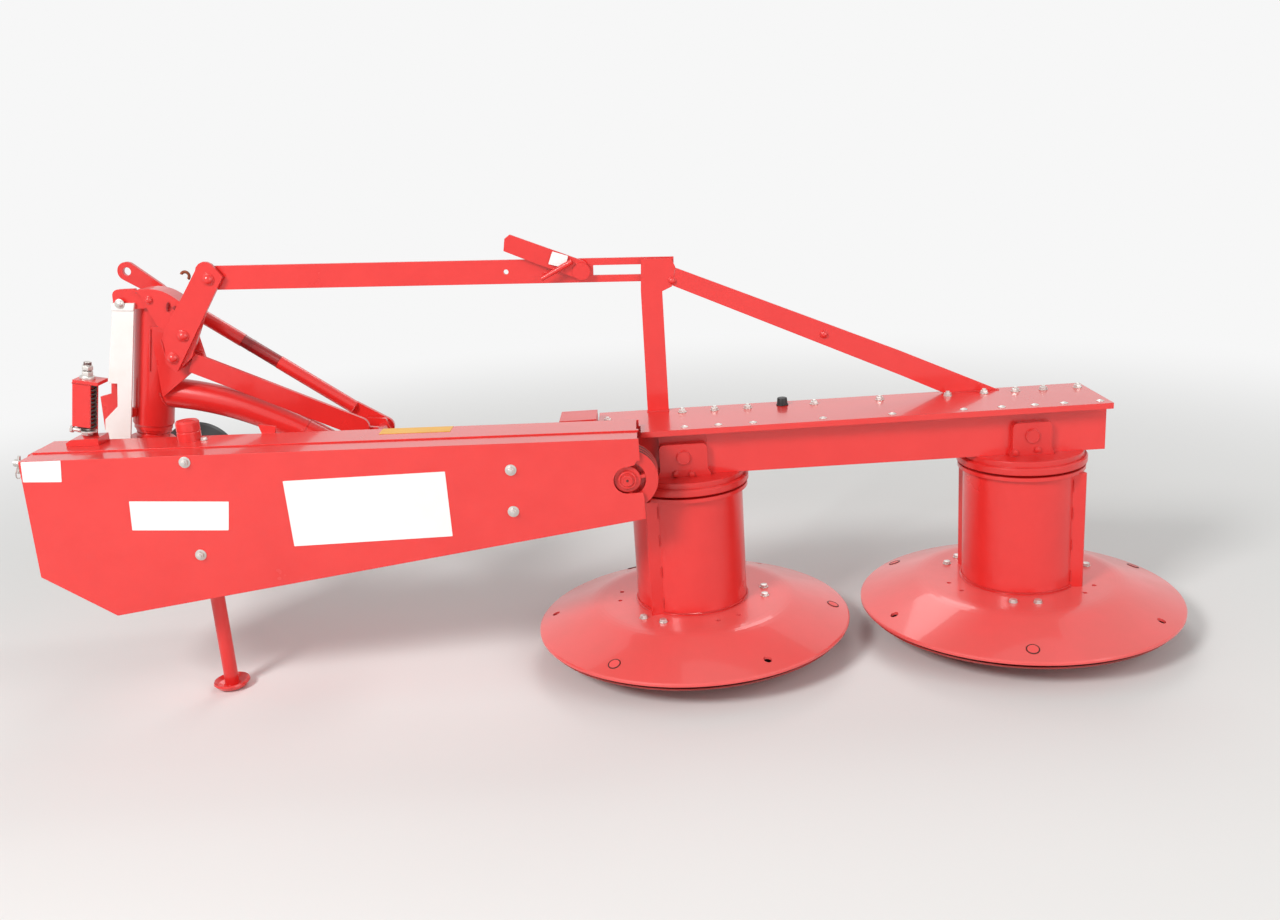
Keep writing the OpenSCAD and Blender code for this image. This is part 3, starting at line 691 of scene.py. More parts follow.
@dataclass(frozen=True)
class LinchPin:
    """A linch pin through a hitch pin, with its spring ring.

    Attributes:
        r: radius of the pin.
        ring_r: radius of the ring.
        length: length of the pin.
    """

    r: float = 4.5
    ring_r: float = 19.0
    length: float = 44.0

    def add(self, piece: Piece, at: Point, axis: Point, spin: float = 0.0) -> None:
        """Adds pin and ring to a piece.

        Args:
            piece: what it is added to.
            at: the point that the pin goes through.
            axis: direction of the pin, head first.
            spin: turn of the ring about the pin, in degrees.
        """
        step = Vector(axis).normalized()
        top = Vector(at) + step * (self.length / 2)
        piece.rod(top, -step, self.r, self.length, sides=12, edge=1.0)
        piece.rod(top, step, self.r * 1.5, 8, sides=12, edge=1.0)
        piece.ring(top + step * 4, toward(axis, spin) @ Vector(RIGHT), self.ring_r, 1.7, steps=32)


def polar(centre: Point, r: float, angle: float, z: float) -> Triple:
    """Point at a radius and an angle, in degrees, round an upright axis."""
    a = math.radians(angle)
    return (centre[0] + r * math.cos(a), centre[1] + r * math.sin(a), z)


def round_axle(centre: Point, r: float, angle: float, y: float) -> Triple:
    """Point at a radius and an angle, in degrees, round an axis that lies fore and aft."""
    a = math.radians(angle)
    return (centre[0] + r * math.cos(a), y, centre[1] + r * math.sin(a))


@dataclass(frozen=True)
class Lean:
    """Axes of something that leans to the right.

    Attributes:
        foot: where it starts.
        degrees: how far it leans.
    """

    foot: Triple
    degrees: float

    def way(self, u: float, v: float, w: float) -> Vector:
        """Step right, forward and up along the leaning axes."""
        a = math.radians(self.degrees)
        return Vector((u * math.cos(a) + w * math.sin(a), v, w * math.cos(a) - u * math.sin(a)))

    def at(self, u: float, v: float, w: float) -> Vector:
        """Point right, forward and up from the foot."""
        return Vector(self.foot) + self.way(u, v, w)


# the mast's axes, from the foot of its sleeve
MAST = Lean((-1360.0, 172.0, 606.0), 11.3)


# Sub-assemblies


@dataclass
class CuttingUnit:
    """A drum with its knife disc and skid plate.

    Attributes:
        side: inner or outer, as in the CAD nodes' names.
        drum: body of the drum.
        skid: body of the skid plate.
        x: place of its axis.
        knife_angle: angle of the first knife bolt as parked.
        rib_angle: angle of the first rib as parked.
        knives: number of knives.
        foot_circle_r: radius of the circle of bolts at the drum's foot.
        foot_pair_deg: how far each bolt of a pair stands from the knife's angle.
        drum_r: radius of the drum's tube.
        lip_r: radius of the lip at its top.
        wall: thickness of its wall.
        drum_top_z: height of the drum's lid.
        disc_top_z: height of the disc's flat ring.
        hub_r: bore and outer radius of the hub over the lid.
        rib_half: half of the width of a rib's foot.
        rib_out: radius of a rib's corner.
        ribs: number of ribs.
        knife_bolt: radius and height of a knife bolt's head.
        cone_deg: slope of the disc there.
        tack_z: low ends of the welds that tack a rib, with tack_len their length.
    """

    side: str
    drum: Body
    skid: Body
    x: float
    knife_angle: float
    rib_angle: float
    knives: int = 3
    foot_circle_r: float = 183.0
    foot_pair_deg: float = 8.8
    drum_r: float = 137.0
    lip_r: float = 150.0
    wall: float = 6.0
    drum_top_z: float = 432.0
    disc_top_z: float = 135.0
    hub_r: Pair = (24.0, 30.0)
    rib_half: float = 21.0
    rib_out: float = 160.0
    ribs: int = 2
    knife_bolt: Pair = (351.0, 93.6)
    cone_deg: float = 20.5
    tack_z: tuple[float, ...] = (150.0, 230.0, 310.0, 380.0)
    tack_len: float = 26.0

    def dress(self) -> None:
        """Gives the unit's CAD nodes their finishes."""
        BAR_RED.on(f"drum_{self.side}")
        DISC_RED_WITH_PAINTED_SHEEN.on(f"disc_{self.side}")
        BLADE.on(f"knives_{self.side}")
        SKID_RED.on(f"skid_{self.side}")

    def shell(self) -> None:
        """Makes the drum's tube with its lip, hub and two angle irons, corner outwards."""
        low, top, (bore, hub) = self.disc_top_z, self.drum_top_z, self.hub_r
        inner, shelf = self.drum_r - self.wall, top - 12
        node = f"drum_{self.side}"
        hub_top = top_of(node)
        drum = Piece(f"drum_shell_{self.side}", self.drum, BAR_RED)
        drum.lathe(
            [
                (self.drum_r + 5, low), (self.drum_r + 1, low + 2), (self.drum_r, low + 7), (self.drum_r, shelf),
                (self.lip_r, top - 9), (self.lip_r, top), (hub, top), (hub, hub_top), (bore, hub_top),
                (bore, shelf), (inner, shelf), (inner, low),
            ],
            self.x,
        )
        # the ribs' edges end within the tube's wall
        edge_r = self.drum_r - 5
        section = ((edge_r, -self.rib_half), (self.rib_out, -2), (self.rib_out, 2), (edge_r, self.rib_half))
        for k in range(self.ribs):
            turn = Matrix.Rotation(math.radians(self.rib_angle + 360 / self.ribs * k), 3, "Z")
            outline = [turn @ Vector((r, t, low)) + Vector((self.x, 0, 0)) for r, t in section]
            drum.plate(outline, (0, 0, top - 9.5 - low))
        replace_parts(drum.done(), node)

    def build(self) -> None:
        """Adds the drum's shell, foot bolts and welds, dark rings of painted shade round the knife bolts and the
        skid's hub screws.
        """
        self.shell()
        centre = (self.x, 0.0)
        bolts = Piece(f"disc_bolts_{self.side}", self.drum, ZINC)
        step = 360 / self.knives
        for k in range(self.knives):
            for turn in (-self.foot_pair_deg, self.foot_pair_deg):
                angle = self.knife_angle + k * step + turn
                M10.add(bolts, polar(centre, self.foot_circle_r, angle, self.disc_top_z), UP, spin=angle)
        bolts.done()
        # painted shade: a dark ring round each knife bolt's head stands for the shadowed gap in its round hole
        shade_rings = Piece(f"knife_head_painted_shade_rings_{self.side}", self.drum, THREAD_AND_PAINTED_SHADE)
        lean = math.radians(self.cone_deg)
        for k in range(self.knives):
            angle = self.knife_angle + k * step
            a = math.radians(angle)
            normal = (math.sin(lean) * math.cos(a), math.sin(lean) * math.sin(a), math.cos(lean))
            shade_rings.ring(polar(centre, self.knife_bolt[0], angle, self.knife_bolt[1]), normal, 13.8, 1.7)
        shade_rings.done()
        weld = Piece(f"drum_welds_{self.side}", self.drum, BAR_RED)
        weld.arc_bead((self.x, 0, self.disc_top_z + 5), UP, self.drum_r + 2, r=2)
        # each rib is tacked to the drum in four short runs
        reach = math.degrees((self.rib_half - 3) / self.drum_r)
        for k in range(self.ribs):
            for edge in (-reach, reach):
                angle = self.rib_angle + 360 / self.ribs * k + edge
                for low in self.tack_z:
                    weld.bead([polar(centre, self.drum_r + 1, angle, z) for z in (low, low + self.tack_len)], r=2.5)
        weld.done()
        hub = Piece(f"skid_hub_screws_{self.side}", self.skid, SKID_RED)
        for k in range(4):
            hub.rod(polar(centre, 50, 45 + 90 * k, 95), UP, 7, 5, sides=6)
        hub.done()


@dataclass
class Beam:
    """The cover plate over the drive beam with its bolts, bearing blocks, post and brace.

    Attributes:
        row_x: places of the cover's bolts and screws along the beam.
        row_y: the row of screws and the row of bolts.
        left_pair: the two bolts at the cover's left end.
        boss_x: middle of each bearing block's boss, with boss_z its height and boss_y its face.
        foot_bolts: place and height of the bearing blocks' foot bolts, with foot_y their face.
        post_x: sides of the post's foot, with post_y its front and back.
        brace_x: ends of the brace's foot.
        plug: the plug's place on the cover.
        brace_heads: place and height of the small heads on the brace, with head_y their face.
        seam_x: starts of the welds along the beam, with seam_len, seam_y and seam_z their length, face and height.
    """

    row_x: tuple[float, ...] = (1, 81, 163, 327, 489, 656, 745, 822, 890, 974)
    row_y: Pair = (-86.0, 62.0)
    left_pair: tuple[Pair, ...] = ((-182, 12), (-182, -38))
    boss_x: Pair = (-5.0, 818.0)
    boss_z: float = 518.0
    boss_y: float = 92.0
    foot_bolts: tuple[Pair, ...] = ((-25, 479), (13, 476), (777, 480), (830, 484))
    foot_y: float = 88.0
    post_x: Pair = (-84.0, -31.0)
    post_y: Pair = (88.0, 98.0)
    brace_x: Pair = (657.0, 788.0)
    plug: Pair = (250.0, 74.0)
    brace_heads: tuple[Pair, ...] = ((359, 759), (-5, 914))
    head_y: float = 89.0
    seam_x: tuple[float, ...] = (100, 220, 340, 460, 580, 700, 940)
    seam_len: float = 40.0
    seam_y: float = 71.0
    seam_z: float = 585.0

    def dress(self) -> None:
        """Gives the beam's CAD nodes their finishes."""
        PANEL_RED.on("beam", "cover", "post", "brace")
        CAST_RED.on("bearing_blocks", "gearbox", "drum_flanges")
        PLASTIC.on("cover_plug")

    def build(self) -> None:
        """Adds the cover's bolts, screws and plug, the blocks' bolts and rims, the brace's heads and the welds."""
        top = top_of("cover")
        bolts = Piece("cover_bolts", Body.CUTTER, ZINC)
        for k, (x, y) in enumerate([(x, self.row_y[1]) for x in self.row_x] + list(self.left_pair)):
            M10_NUT.add(bolts, (x, y, top), UP, spin=17 * k)
        bolts.done()
        low = Piece("cover_front_screws", Body.CUTTER, ZINC)
        for x in self.row_x:
            low.rod((x, self.row_y[0], top), UP, 9, 1.2, sides=24, edge=0.4)
            low.dome((x, self.row_y[0], top + 1.2), UP, 7.5, 2.6)
        low.done()
        plug = Piece("cover_plug_cap", Body.CUTTER, PLASTIC)
        plug.rod((*self.plug, top - 4), UP, 13.9, 5, sides=32)
        plug.rod((*self.plug, top), UP, 13.5, 19, sides=32, r_end=12.0, edge=2.0)
        plug.ring((*self.plug, top + 1.5), UP, 13.6, 1.6)
        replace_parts(plug.done(), "cover_plug")
        feet = Piece("block_foot_bolts", Body.CUTTER, CAST_RED)
        for x, z in self.foot_bolts:
            for side in (-1, 1):
                M8.add(feet, (x, side * self.foot_y, z), (0, side, 0), spin=11)
        feet.done()
        caps = Piece("block_caps", Body.CUTTER, CAST_RED)
        for x in self.boss_x:
            for side in (-1, 1):
                caps.ring((x, side * self.boss_y, self.boss_z), FORE, 15.6, 1.3)
        caps.done()
        small = Piece("brace_screws", Body.CUTTER, BAR_RED)
        for x, z in self.brace_heads:
            DOME_16.add(small, (x, self.head_y, z), BACK)
        small.done()
        welds = Piece("post_and_brace_welds", Body.CUTTER, BAR_RED)
        for y in self.post_y:
            for ends in (self.post_x, self.brace_x):
                welds.bead([(x, y, top) for x in ends], r=3)
        welds.done()
        seam = Piece("beam_welds", Body.CUTTER, PANEL_RED)
        for y in (-self.seam_y, self.seam_y):
            for x in self.seam_x:
                seam.bead([(x, y, self.seam_z), (x + self.seam_len, y, self.seam_z)], r=2.5)
        seam.done()


@dataclass
class BeltGuard:
    """The tapered guard over the belts, its labels, bolts and edge marking.

    Attributes:
        face_y: place of its front face.
        bolts: where the front shell is bolted.
        labels: corners of each blank label, on the front face.
        film_t: thickness of a label.
        left: its left end, with top_left the height of its top plate there.
        right: its right end, with top_right the height of its top plate there.
        back_y: place of its rear wall's back.
        belt_wheels: place, height and radius of the belts' outer face at both pulleys.
        belt_section: thickness and width of a belt.
        belt_y: rear faces of the belts.
        film: left, right, rear and front edge of the yellow film.
        back_bolts: place and height of the rear wall's bolts.
        housing_bolt_r: radius of the circle of bolts round the input shaft.
        clip: radius of the input shield's clip and its distance from the rear wall.
    """

    face_y: float = -230.0
    bolts: tuple[Pair, ...] = ((-1125, 619), (-1125, 398), (-397, 554), (-400, 456))
    labels: dict[str, tuple[Pair, ...]] = field(
        default_factory=lambda: {
            "corner_label": ((-1492, 643), (-1402, 641), (-1409, 591), (-1496, 596)),
            "middle_label": ((-1266, 536), (-1041, 521), (-1052, 453), (-1271, 467)),
            "large_label": ((-912, 561), (-545, 560), (-544, 406), (-908, 405)),
        }
    )
    film_t: float = 0.6
    left: float = -1498.0
    top_left: float = 647.0
    right: float = -106.0
    top_right: float = 611.0
    back_y: float = -60.0
    belt_wheels: tuple[Triple, Triple] = ((*DRIVE_AXIS, 157.0), (*DRIVEN_AXIS, 69.0))
    belt_section: Pair = (7.7, 12.0)
    belt_y: tuple[float, ...] = (-216.0, -195.0, -174.0)
    film: tuple[float, ...] = (-712.0, -545.0, -112.0, -61.0)
    back_bolts: tuple[Pair, ...] = ((-1440, 590), (-1180, 600), (-1180, 350), (-700, 590), (-500, 440), (-330, 590))
    housing_bolt_r: float = 47.0
    clip: Pair = (63.5, 314.0)

    def top(self, x: float) -> float:
        """Height of the sloping top plate at a place along it."""
        return self.top_left + (self.top_right - self.top_left) * (x - self.left) / (self.right - self.left)

    def dress(self) -> None:
        """Gives the guard's CAD nodes their finishes."""
        PANEL_RED.on("guard_face", "guard_back")
        RUBBER.on("belts")
        CAST_RED.on("input_housing")
        PLASTIC.on("input_shield")

    def build(self) -> None:
        """Adds labels, belts, bolts, the yellow film and the rear wall's fasteners."""
        belts = Piece("wrapped_belts", Body.CUTTER, RUBBER)
        for y in self.belt_y:
            belts.belt(self.belt_wheels, self.belt_section[0], y, self.belt_section[1])
        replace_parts(belts.done(), "belts")
        for name, corners in self.labels.items():
            label = Piece(name, Body.CUTTER, VINYL)
            label.plate([(x, self.face_y - 0.1, z) for x, z in corners], (0, -self.film_t, 0), corner=1.5)
            label.done()
        film = Piece("yellow_edge_film", Body.CUTTER, YELLOW)
        x0, x1, y0, y1 = self.film
        film.plate(
            [(x, y, self.top(x) + 0.1) for x, y in ((x0, y0), (x1, y0), (x1, y1), (x0, y1))], (0, 0, self.film_t)
        )
        film.done()
        screws = Piece("guard_screws", Body.CUTTER, ZINC)
        for x, z in self.bolts:
            screws.rod((x, self.face_y, z), BACK, 13, 2, sides=24, edge=0.4)
            screws.rod((x, self.face_y - 2, z), BACK, 9.5, 7, sides=6, edge=0.8)
            screws.rod((x, self.face_y - 9, z), BACK, 5.5, 5, sides=14, edge=0.8)
        screws.done()
        back = Piece("guard_back_bolts", Body.CUTTER, ZINC)
        for angle in range(30, 390, 60):
            M10.add(back, round_axle(DRIVE_AXIS, self.housing_bolt_r, angle, self.back_y + 30), FORE, spin=30)
        for x, z in self.back_bolts:
            M10.add(back, (x, self.back_y, z), FORE, spin=x)
        back.done()
        clip = Piece("input_shield_clip", Body.CUTTER, ZINC)
        (x, z), (r, out) = DRIVE_AXIS, self.clip
        clip.ring((x, self.back_y + out, z), FORE, r, 2.0, steps=48)
        clip.rod((x + 8, self.back_y + out, z + r + 0.5), RIGHT, 4, 16, sides=10, edge=0.5)
        clip.done()


@dataclass
class Pulleys:
    """The driven pulley's end that shows in the guard's notch, and the drive pulley.

    Attributes:
        cap_y: place of the driven pulley's cap.
        face_y: place of the drive pulley's face.
        hub_rings: wire's centre radius of the two rings on the cap.
        hub_bolt_r: radius of the circle of screws on the drive pulley's hub.
    """

    cap_y: float = -232.0
    face_y: float = -221.0
    hub_rings: Pair = (18.0, 11.0)
    hub_bolt_r: float = 21.0

    def dress(self) -> None:
        """Gives the pulleys' CAD nodes their finishes."""
        CAST_RED.on("drive_pulley", "driven_pulley")

    def build(self) -> None:
        """Adds the cap's rings and a dark disc of painted shade for the dimple on the driven pulley, and the drive
        pulley's hub screws.
        """
        x, z = DRIVEN_AXIS
        hub = Piece("driven_hub_rings", Body.DRIVEN, BAR_RED)
        hub.ring((x, self.cap_y + 5, z), FORE, self.hub_rings[0], 2.2)
        hub.ring((x, self.cap_y, z), FORE, self.hub_rings[1], 1.5)
        hub.done()
        # painted shade: a thin dark disc stands for the shade in the hub's centre dimple
        dimple_shade = Piece("driven_hub_centre_painted_shade", Body.DRIVEN, THREAD_AND_PAINTED_SHADE)
        dimple_shade.rod((x, self.cap_y - 0.2, z), BACK, 3, 0.6, sides=16)
        dimple_shade.done()
        screws = Piece("drive_hub_screws", Body.DRIVE, ZINC)
        for angle in range(0, 360, 60):
            screws.rod(round_axle(DRIVE_AXIS, self.hub_bolt_r, angle, self.face_y), BACK, 6, 3.5, sides=6, spin=angle)
        screws.done()


@dataclass
class Tensioner:
    """The spring tensioner on the guard's left end, which leans as the mast does.

    Attributes:
        axes: its leaning axes, from the spring's foot in the middle of the box.
        rod: place of the rod, right and forward of the box's middle.
        rod_r: radius of the rod.
        nuts: height over the lid, radius, thickness and sides of the washer and the nuts.
        spring: radius to the wire's centre, wire's radius, pitch and turns of the spring.
        box_h: height of the box.
        box_u: its two sides.
        box_v: its rear and front.
        plate_t: thickness of its plates, with lid_t that of its lid.
        foot_x: the foot's two ends.
        foot_y: its two sides.
    """

    axes: Lean = Lean((-1391.0, -97.0, 676.1), 11.3)
    rod: Pair = (-7.5, 6.0)
    rod_r: float = 8.0
    nuts: tuple[tuple[float, float, float, int], ...] = ((0, 17, 6, 32), (5, 13, 13, 6), (21, 13, 10, 6))
    spring: tuple[float, float, float, float] = (18.3, 3.2, 9.8, 11.4)
    box_h: float = 115.0
    box_u: Pair = (-30.0, 28.0)
    box_v: Pair = (-21.0, 33.0)
    plate_t: float = 5.0
    lid_t: float = 8.0
    foot_x: Pair = (-1440.0, -1364.0)
    foot_y: Pair = (-120.0, -62.0)

    def dress(self) -> None:
        """Gives the tensioner's CAD nodes their finishes."""
        BAR_RED.on("tensioner")
        ZINC.on("tensioner_rod")

    def slab(self, piece: Piece, u: Pair, v: Pair, w: Pair) -> None:
        """Adds one of the box's plates.

        Args:
            piece: what it is added to.
            u: its two sides, right along the box.
            v: its rear and front.
            w: its ends, up along the box.
        """
        piece.plate(
            [self.axes.at(a, v[0], b) for a, b in ((u[0], w[0]), (u[1], w[0]), (u[1], w[1]), (u[0], w[1]))],
            (0, v[1] - v[0], 0),
        )

    def build(self) -> None:
        """Adds the box's plates on their foot, the rod with its nuts, the coil spring, the thread and the welds."""
        at, up, right = self.axes.at, self.axes.way(0, 0, 1), self.axes.way(1, 0, 0)
        guard_top = BeltGuard().top
        base = guard_top(-1448) + 15
        box = Piece("tensioner_plates", Body.CUTTER, BAR_RED)
        x0, x1 = self.foot_x
        outline = ((x0, guard_top(x0) + 0.1), (x1, guard_top(x1) + 0.1), (x1, base), (x0 + 12, base), (x0, base - 7))
        box.plate([(x, self.foot_y[0], z) for x, z in outline], (0, self.foot_y[1] - self.foot_y[0], 0))
        (left, _), (rear, front), h = self.box_u, self.box_v, self.box_h
        self.slab(box, (left, 11), (rear, rear + self.plate_t), (12, h + 1))
        self.slab(box, (left, 6), (front - self.plate_t, front), (-26, h + 1))
        self.slab(box, self.box_u, self.box_v, (h, h + self.lid_t))
        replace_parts(box.done(), "tensioner")
        rod = Piece("tensioner_screw_rod", Body.CUTTER, ZINC)
        rod.rod(at(*self.rod, -13), up, self.rod_r, 176, edge=1.0)
        rod.rod(at(*self.rod, -12), up, 13, 9, sides=6)
        rod.rod(at(*self.rod, -4), up, 22, 4, sides=32, edge=0.6)
        lid = h + self.lid_t + 0.1
        for height, r, thick, sides in self.nuts:
            rod.rod(at(*self.rod, lid + height), up, r, thick, sides=sides, edge=0.8)
        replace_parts(rod.done(), "tensioner_rod")
        spring = Piece("tensioner_spring", Body.CUTTER, SPRING)
        spring.coil(at(*self.rod, 0.2), up, *self.spring)
        spring.done()
        thread = Piece("tensioner_thread", Body.CUTTER, THREAD_AND_PAINTED_SHADE)
        for k in range(4):
            thread.ring(at(*self.rod, lid + 33 + 1.75 * k), up, self.rod_r, 0.7, steps=24)
        thread.ring(at(*self.rod, lid + 19.5), up, self.rod_r, 0.9, steps=24)
        thread.done()
        screw = Piece("tensioner_base_screw", Body.CUTTER, ZINC)
        screw.rod(at(-36, -14, 3), right, 8.5, 6, sides=6, edge=0.6)
        screw.rod(at(left, -14, 3), right, 5, 18, sides=16, edge=0.6)
        screw.done()
        welds = Piece("tensioner_welds", Body.CUTTER, BAR_RED)
        welds.bead([at(left, rear, h), at(11, rear, h)], r=2)
        welds.bead([at(left, front - self.plate_t, -14), at(6, front - self.plate_t, -14)], r=2)
        welds.done()


@dataclass
class SwingArm:
    """The arm with its mast sleeve, lever, gusset, hook plate and stay rod.

    Attributes:
        lever_bolts: where the lever is bolted.
        lever_y: place of the lever's face.
        small_head: the small head beside them.
        hook_bolt: the hook plate's bolt.
        nipple: the grease nipple, right and forward of the mast's axis and up it.
        saddle: where the tube meets the sleeve.
        mast_len: length of the mast's sleeve.
        hinge: place and height of the hinge at the arm's low end.
        stay_end: place and height of the stay rod's foot.
        stay_top: head of the stay rod.
        stay_sleeve_in_painted_shade: start along the stay rod and length of its breakaway sleeve.
        stay_weld: distance of the welds from the stay rod's ends.
        ear_y: faces of the arm's two ears at the hinge.
        bracket_seams: place forward and height of the welds on the hinge bracket, with bracket_half half their length.
    """

    lever_bolts: tuple[Pair, ...] = ((-1125, 989), (-1209, 856), (-1243, 803))
    lever_y: float = 88.0
    small_head: Triple = (-1281.0, 98.0, 948.0)
    hook_bolt: Triple = (-1355.0, 99.0, 943.0)
    nipple: Triple = (14.0, -48.0, 312.0)
    saddle: Triple = (-1309.0, 172.0, 704.0)
    mast_len: float = 345.0
    hinge: Pair = (-815.0, 480.0)
    stay_end: Pair = (-778.0, 563.0)
    stay_top: Triple = (-1383.0, 242.0, 1008.0)
    stay_sleeve_in_painted_shade: Pair = (330.2, 104.6)
    stay_weld: float = 92.0
    ear_y: tuple[float, ...] = (122.0, 134.0, 215.5, 227.5)
    bracket_seams: tuple[Pair, ...] = ((76, 430.5), (91, 430.5), (260, 430.5), (275, 430.5), (-59.5, 431))
    bracket_half: float = 56.0

    def dress(self) -> None:
        """Gives the arm's CAD nodes their finishes."""
        BAR_RED.on(
            "mast_sleeve", "arm_tube", "arm_end", "flat_strut", "gusset", "catch_plate", "lever_plate",
            "hook_bracket", "stay_rod",
        )
        CAST_RED.on("hinge_bracket")
        WHITE.on("hook_plate")
        ZINC.on("hinge_pin")

    def build(self) -> None:
        """Adds the arm's bolts, nipple, spring, hook, stay sleeve and hinge clip, and the welds."""
        heads = Piece("lever_bolts", Body.ARM, BAR_RED)
        for x, z in self.lever_bolts:
            DOME_24.add(heads, (x, self.lever_y, z), BACK)
        DOME_16.add(heads, self.small_head, BACK)
        heads.done()
        hook = Piece("hook_plate_bolt", Body.ARM, ZINC)
        hook.rod(Vector(self.hook_bolt) + Vector((0, 2, 0)), BACK, 12, 2, sides=28, edge=0.5)
        hook.dome(self.hook_bolt, BACK, 10, 5)
        hook.done()
        glint = Piece("mast_nipple", Body.ARM, ZINC)
        nipple = MAST.at(*self.nipple)
        glint.rod(nipple, BACK, 5, 4, sides=6)
        glint.rod(nipple + Vector((0, -4, 0)), BACK, 3.2, 5, sides=14, edge=0.8)
        glint.done()
        # painted shade: the spring and its nut take the darker red because they sit in the gusset's shade
        latch = Piece("gusset_spring_in_painted_shade", Body.ARM, PAINTED_SHADE_RED)
        along = (0.25, 0, 1)
        latch.coil((-1238, 94, 922), along, 3.2, 1.0, 3.0, 4.5)
        latch.rod((-1239, 94, 918), along, 2.2, 22, sides=14)
        latch.rod((-1221, 97.8, 925), BACK, 5, 4, sides=6, edge=0.6)
        latch.done()
        rust = Piece("stay_hook", Body.ARM, RUST)
        rust.ring((-1196, 132, 997), FORE, 10, 3.8, steps=16, sweep=200, start=30)
        rust.ring((-1181, 132, 987), FORE, 8, 3.8, steps=12, sweep=120, start=200)
        rust.done()
        weld = Piece("mast_welds", Body.ARM, BAR_RED)
        weld.arc_bead(MAST.at(0, 0, self.mast_len - 0.5), MAST.way(0, 0, 1), 48, r=3)
        # the tube's saddle on the sleeve, the strut's root, and the gusset's flange
        weld.arc_bead(self.saddle, (0.985, 0, 0.17), 39, r=3)
        weld.bead([(-1300, 121.5, 872), (-1310, 121.5, 822), (-1320, 121.5, 770)], r=3)
        weld.bead([(-1212, 121, 822), (-1180, 121, 806)], r=3)
        weld.bead([(-1240, 98, 770), (-1262, 98, 793), (-1268, 98, 848)], r=2.5)
        weld.done()
        joint = Piece("arm_end_welds", Body.ARM, BAR_RED)
        hinge_x, hinge_z = self.hinge
        for y in self.ear_y:
            joint.arc_bead((hinge_x, y, hinge_z), FORE, 33, r=3, start=40, sweep=100)
        joint.done()
        nuts = Piece("stay_rod_nuts", Body.ARM, ZINC)
        top = Vector(self.stay_top)
        foot = Vector((self.stay_end[0], top.y, self.stay_end[1]))
        M16_NUT.add(nuts, foot + Vector((0, 10.5, 0)), FORE, spin=12)
        nuts.done()
        # painted shade: the sleeve's darker red stands for the long bar's shadow on the stay rod
        sleeve = Piece("stay_sleeve_in_painted_shade", Body.ARM, PAINTED_SHADE_RED)
        along, (start, length) = (foot - top).normalized(), self.stay_sleeve_in_painted_shade
        sleeve.rod(top + along * start, along, 16.5, length, sides=32, edge=0.5)
        sleeve.rod(top + along * 352, along, 16.9, 6, sides=32)
        sleeve.done()
        tube = Piece("stay_rod_welds", Body.ARM, BAR_RED)
        for spot in (top + along * self.stay_weld, foot - along * self.stay_weld):
            for dy in (-6, 6):
                tube.arc_bead(spot + Vector((0, dy, 0)), along, 12, r=3)
        tube.done()
        ends = Piece("hinge_pin_clip", Body.CUTTER, ZINC)
        ends.ring((hinge_x, 283, hinge_z), FORE, 17.5, 1.6, steps=32)
        ends.rod((hinge_x - 24, 289, hinge_z), RIGHT, 2.6, 48, sides=10, edge=0.6)
        ends.done()
        bracket = Piece("hinge_bracket_welds", Body.CUTTER, CAST_RED)
        for y, z in self.bracket_seams:
            bracket.bead([(hinge_x - self.bracket_half, y, z), (hinge_x + self.bracket_half, y, z)], r=3)
        bracket.done()


@dataclass
class TieBar:
    """The slotted tie bar from the lever to the post, with its latch handle.

    Attributes:
        handle_y: place of the handle's face.
        label: corners of the blank label on it.
    """

    handle_y: float = 80.0
    label: tuple[Pair, ...] = ((-287.4, 1003.4), (-250.8, 990.1), (-259.9, 961.4), (-299.6, 974.0))

    def dress(self) -> None:
        """Gives the tie bar's CAD nodes their finishes."""
        PANEL_RED.on("tie_bar")
        BAR_RED.on("latch_handle")

    def build(self) -> None:
        """Adds the handle's blank label."""
        label = Piece("latch_label", Body.TIE, VINYL)
        label.plate([(x, self.handle_y - 0.1, z) for x, z in self.label], (0, -0.6, 0), corner=1.5)
        label.done()


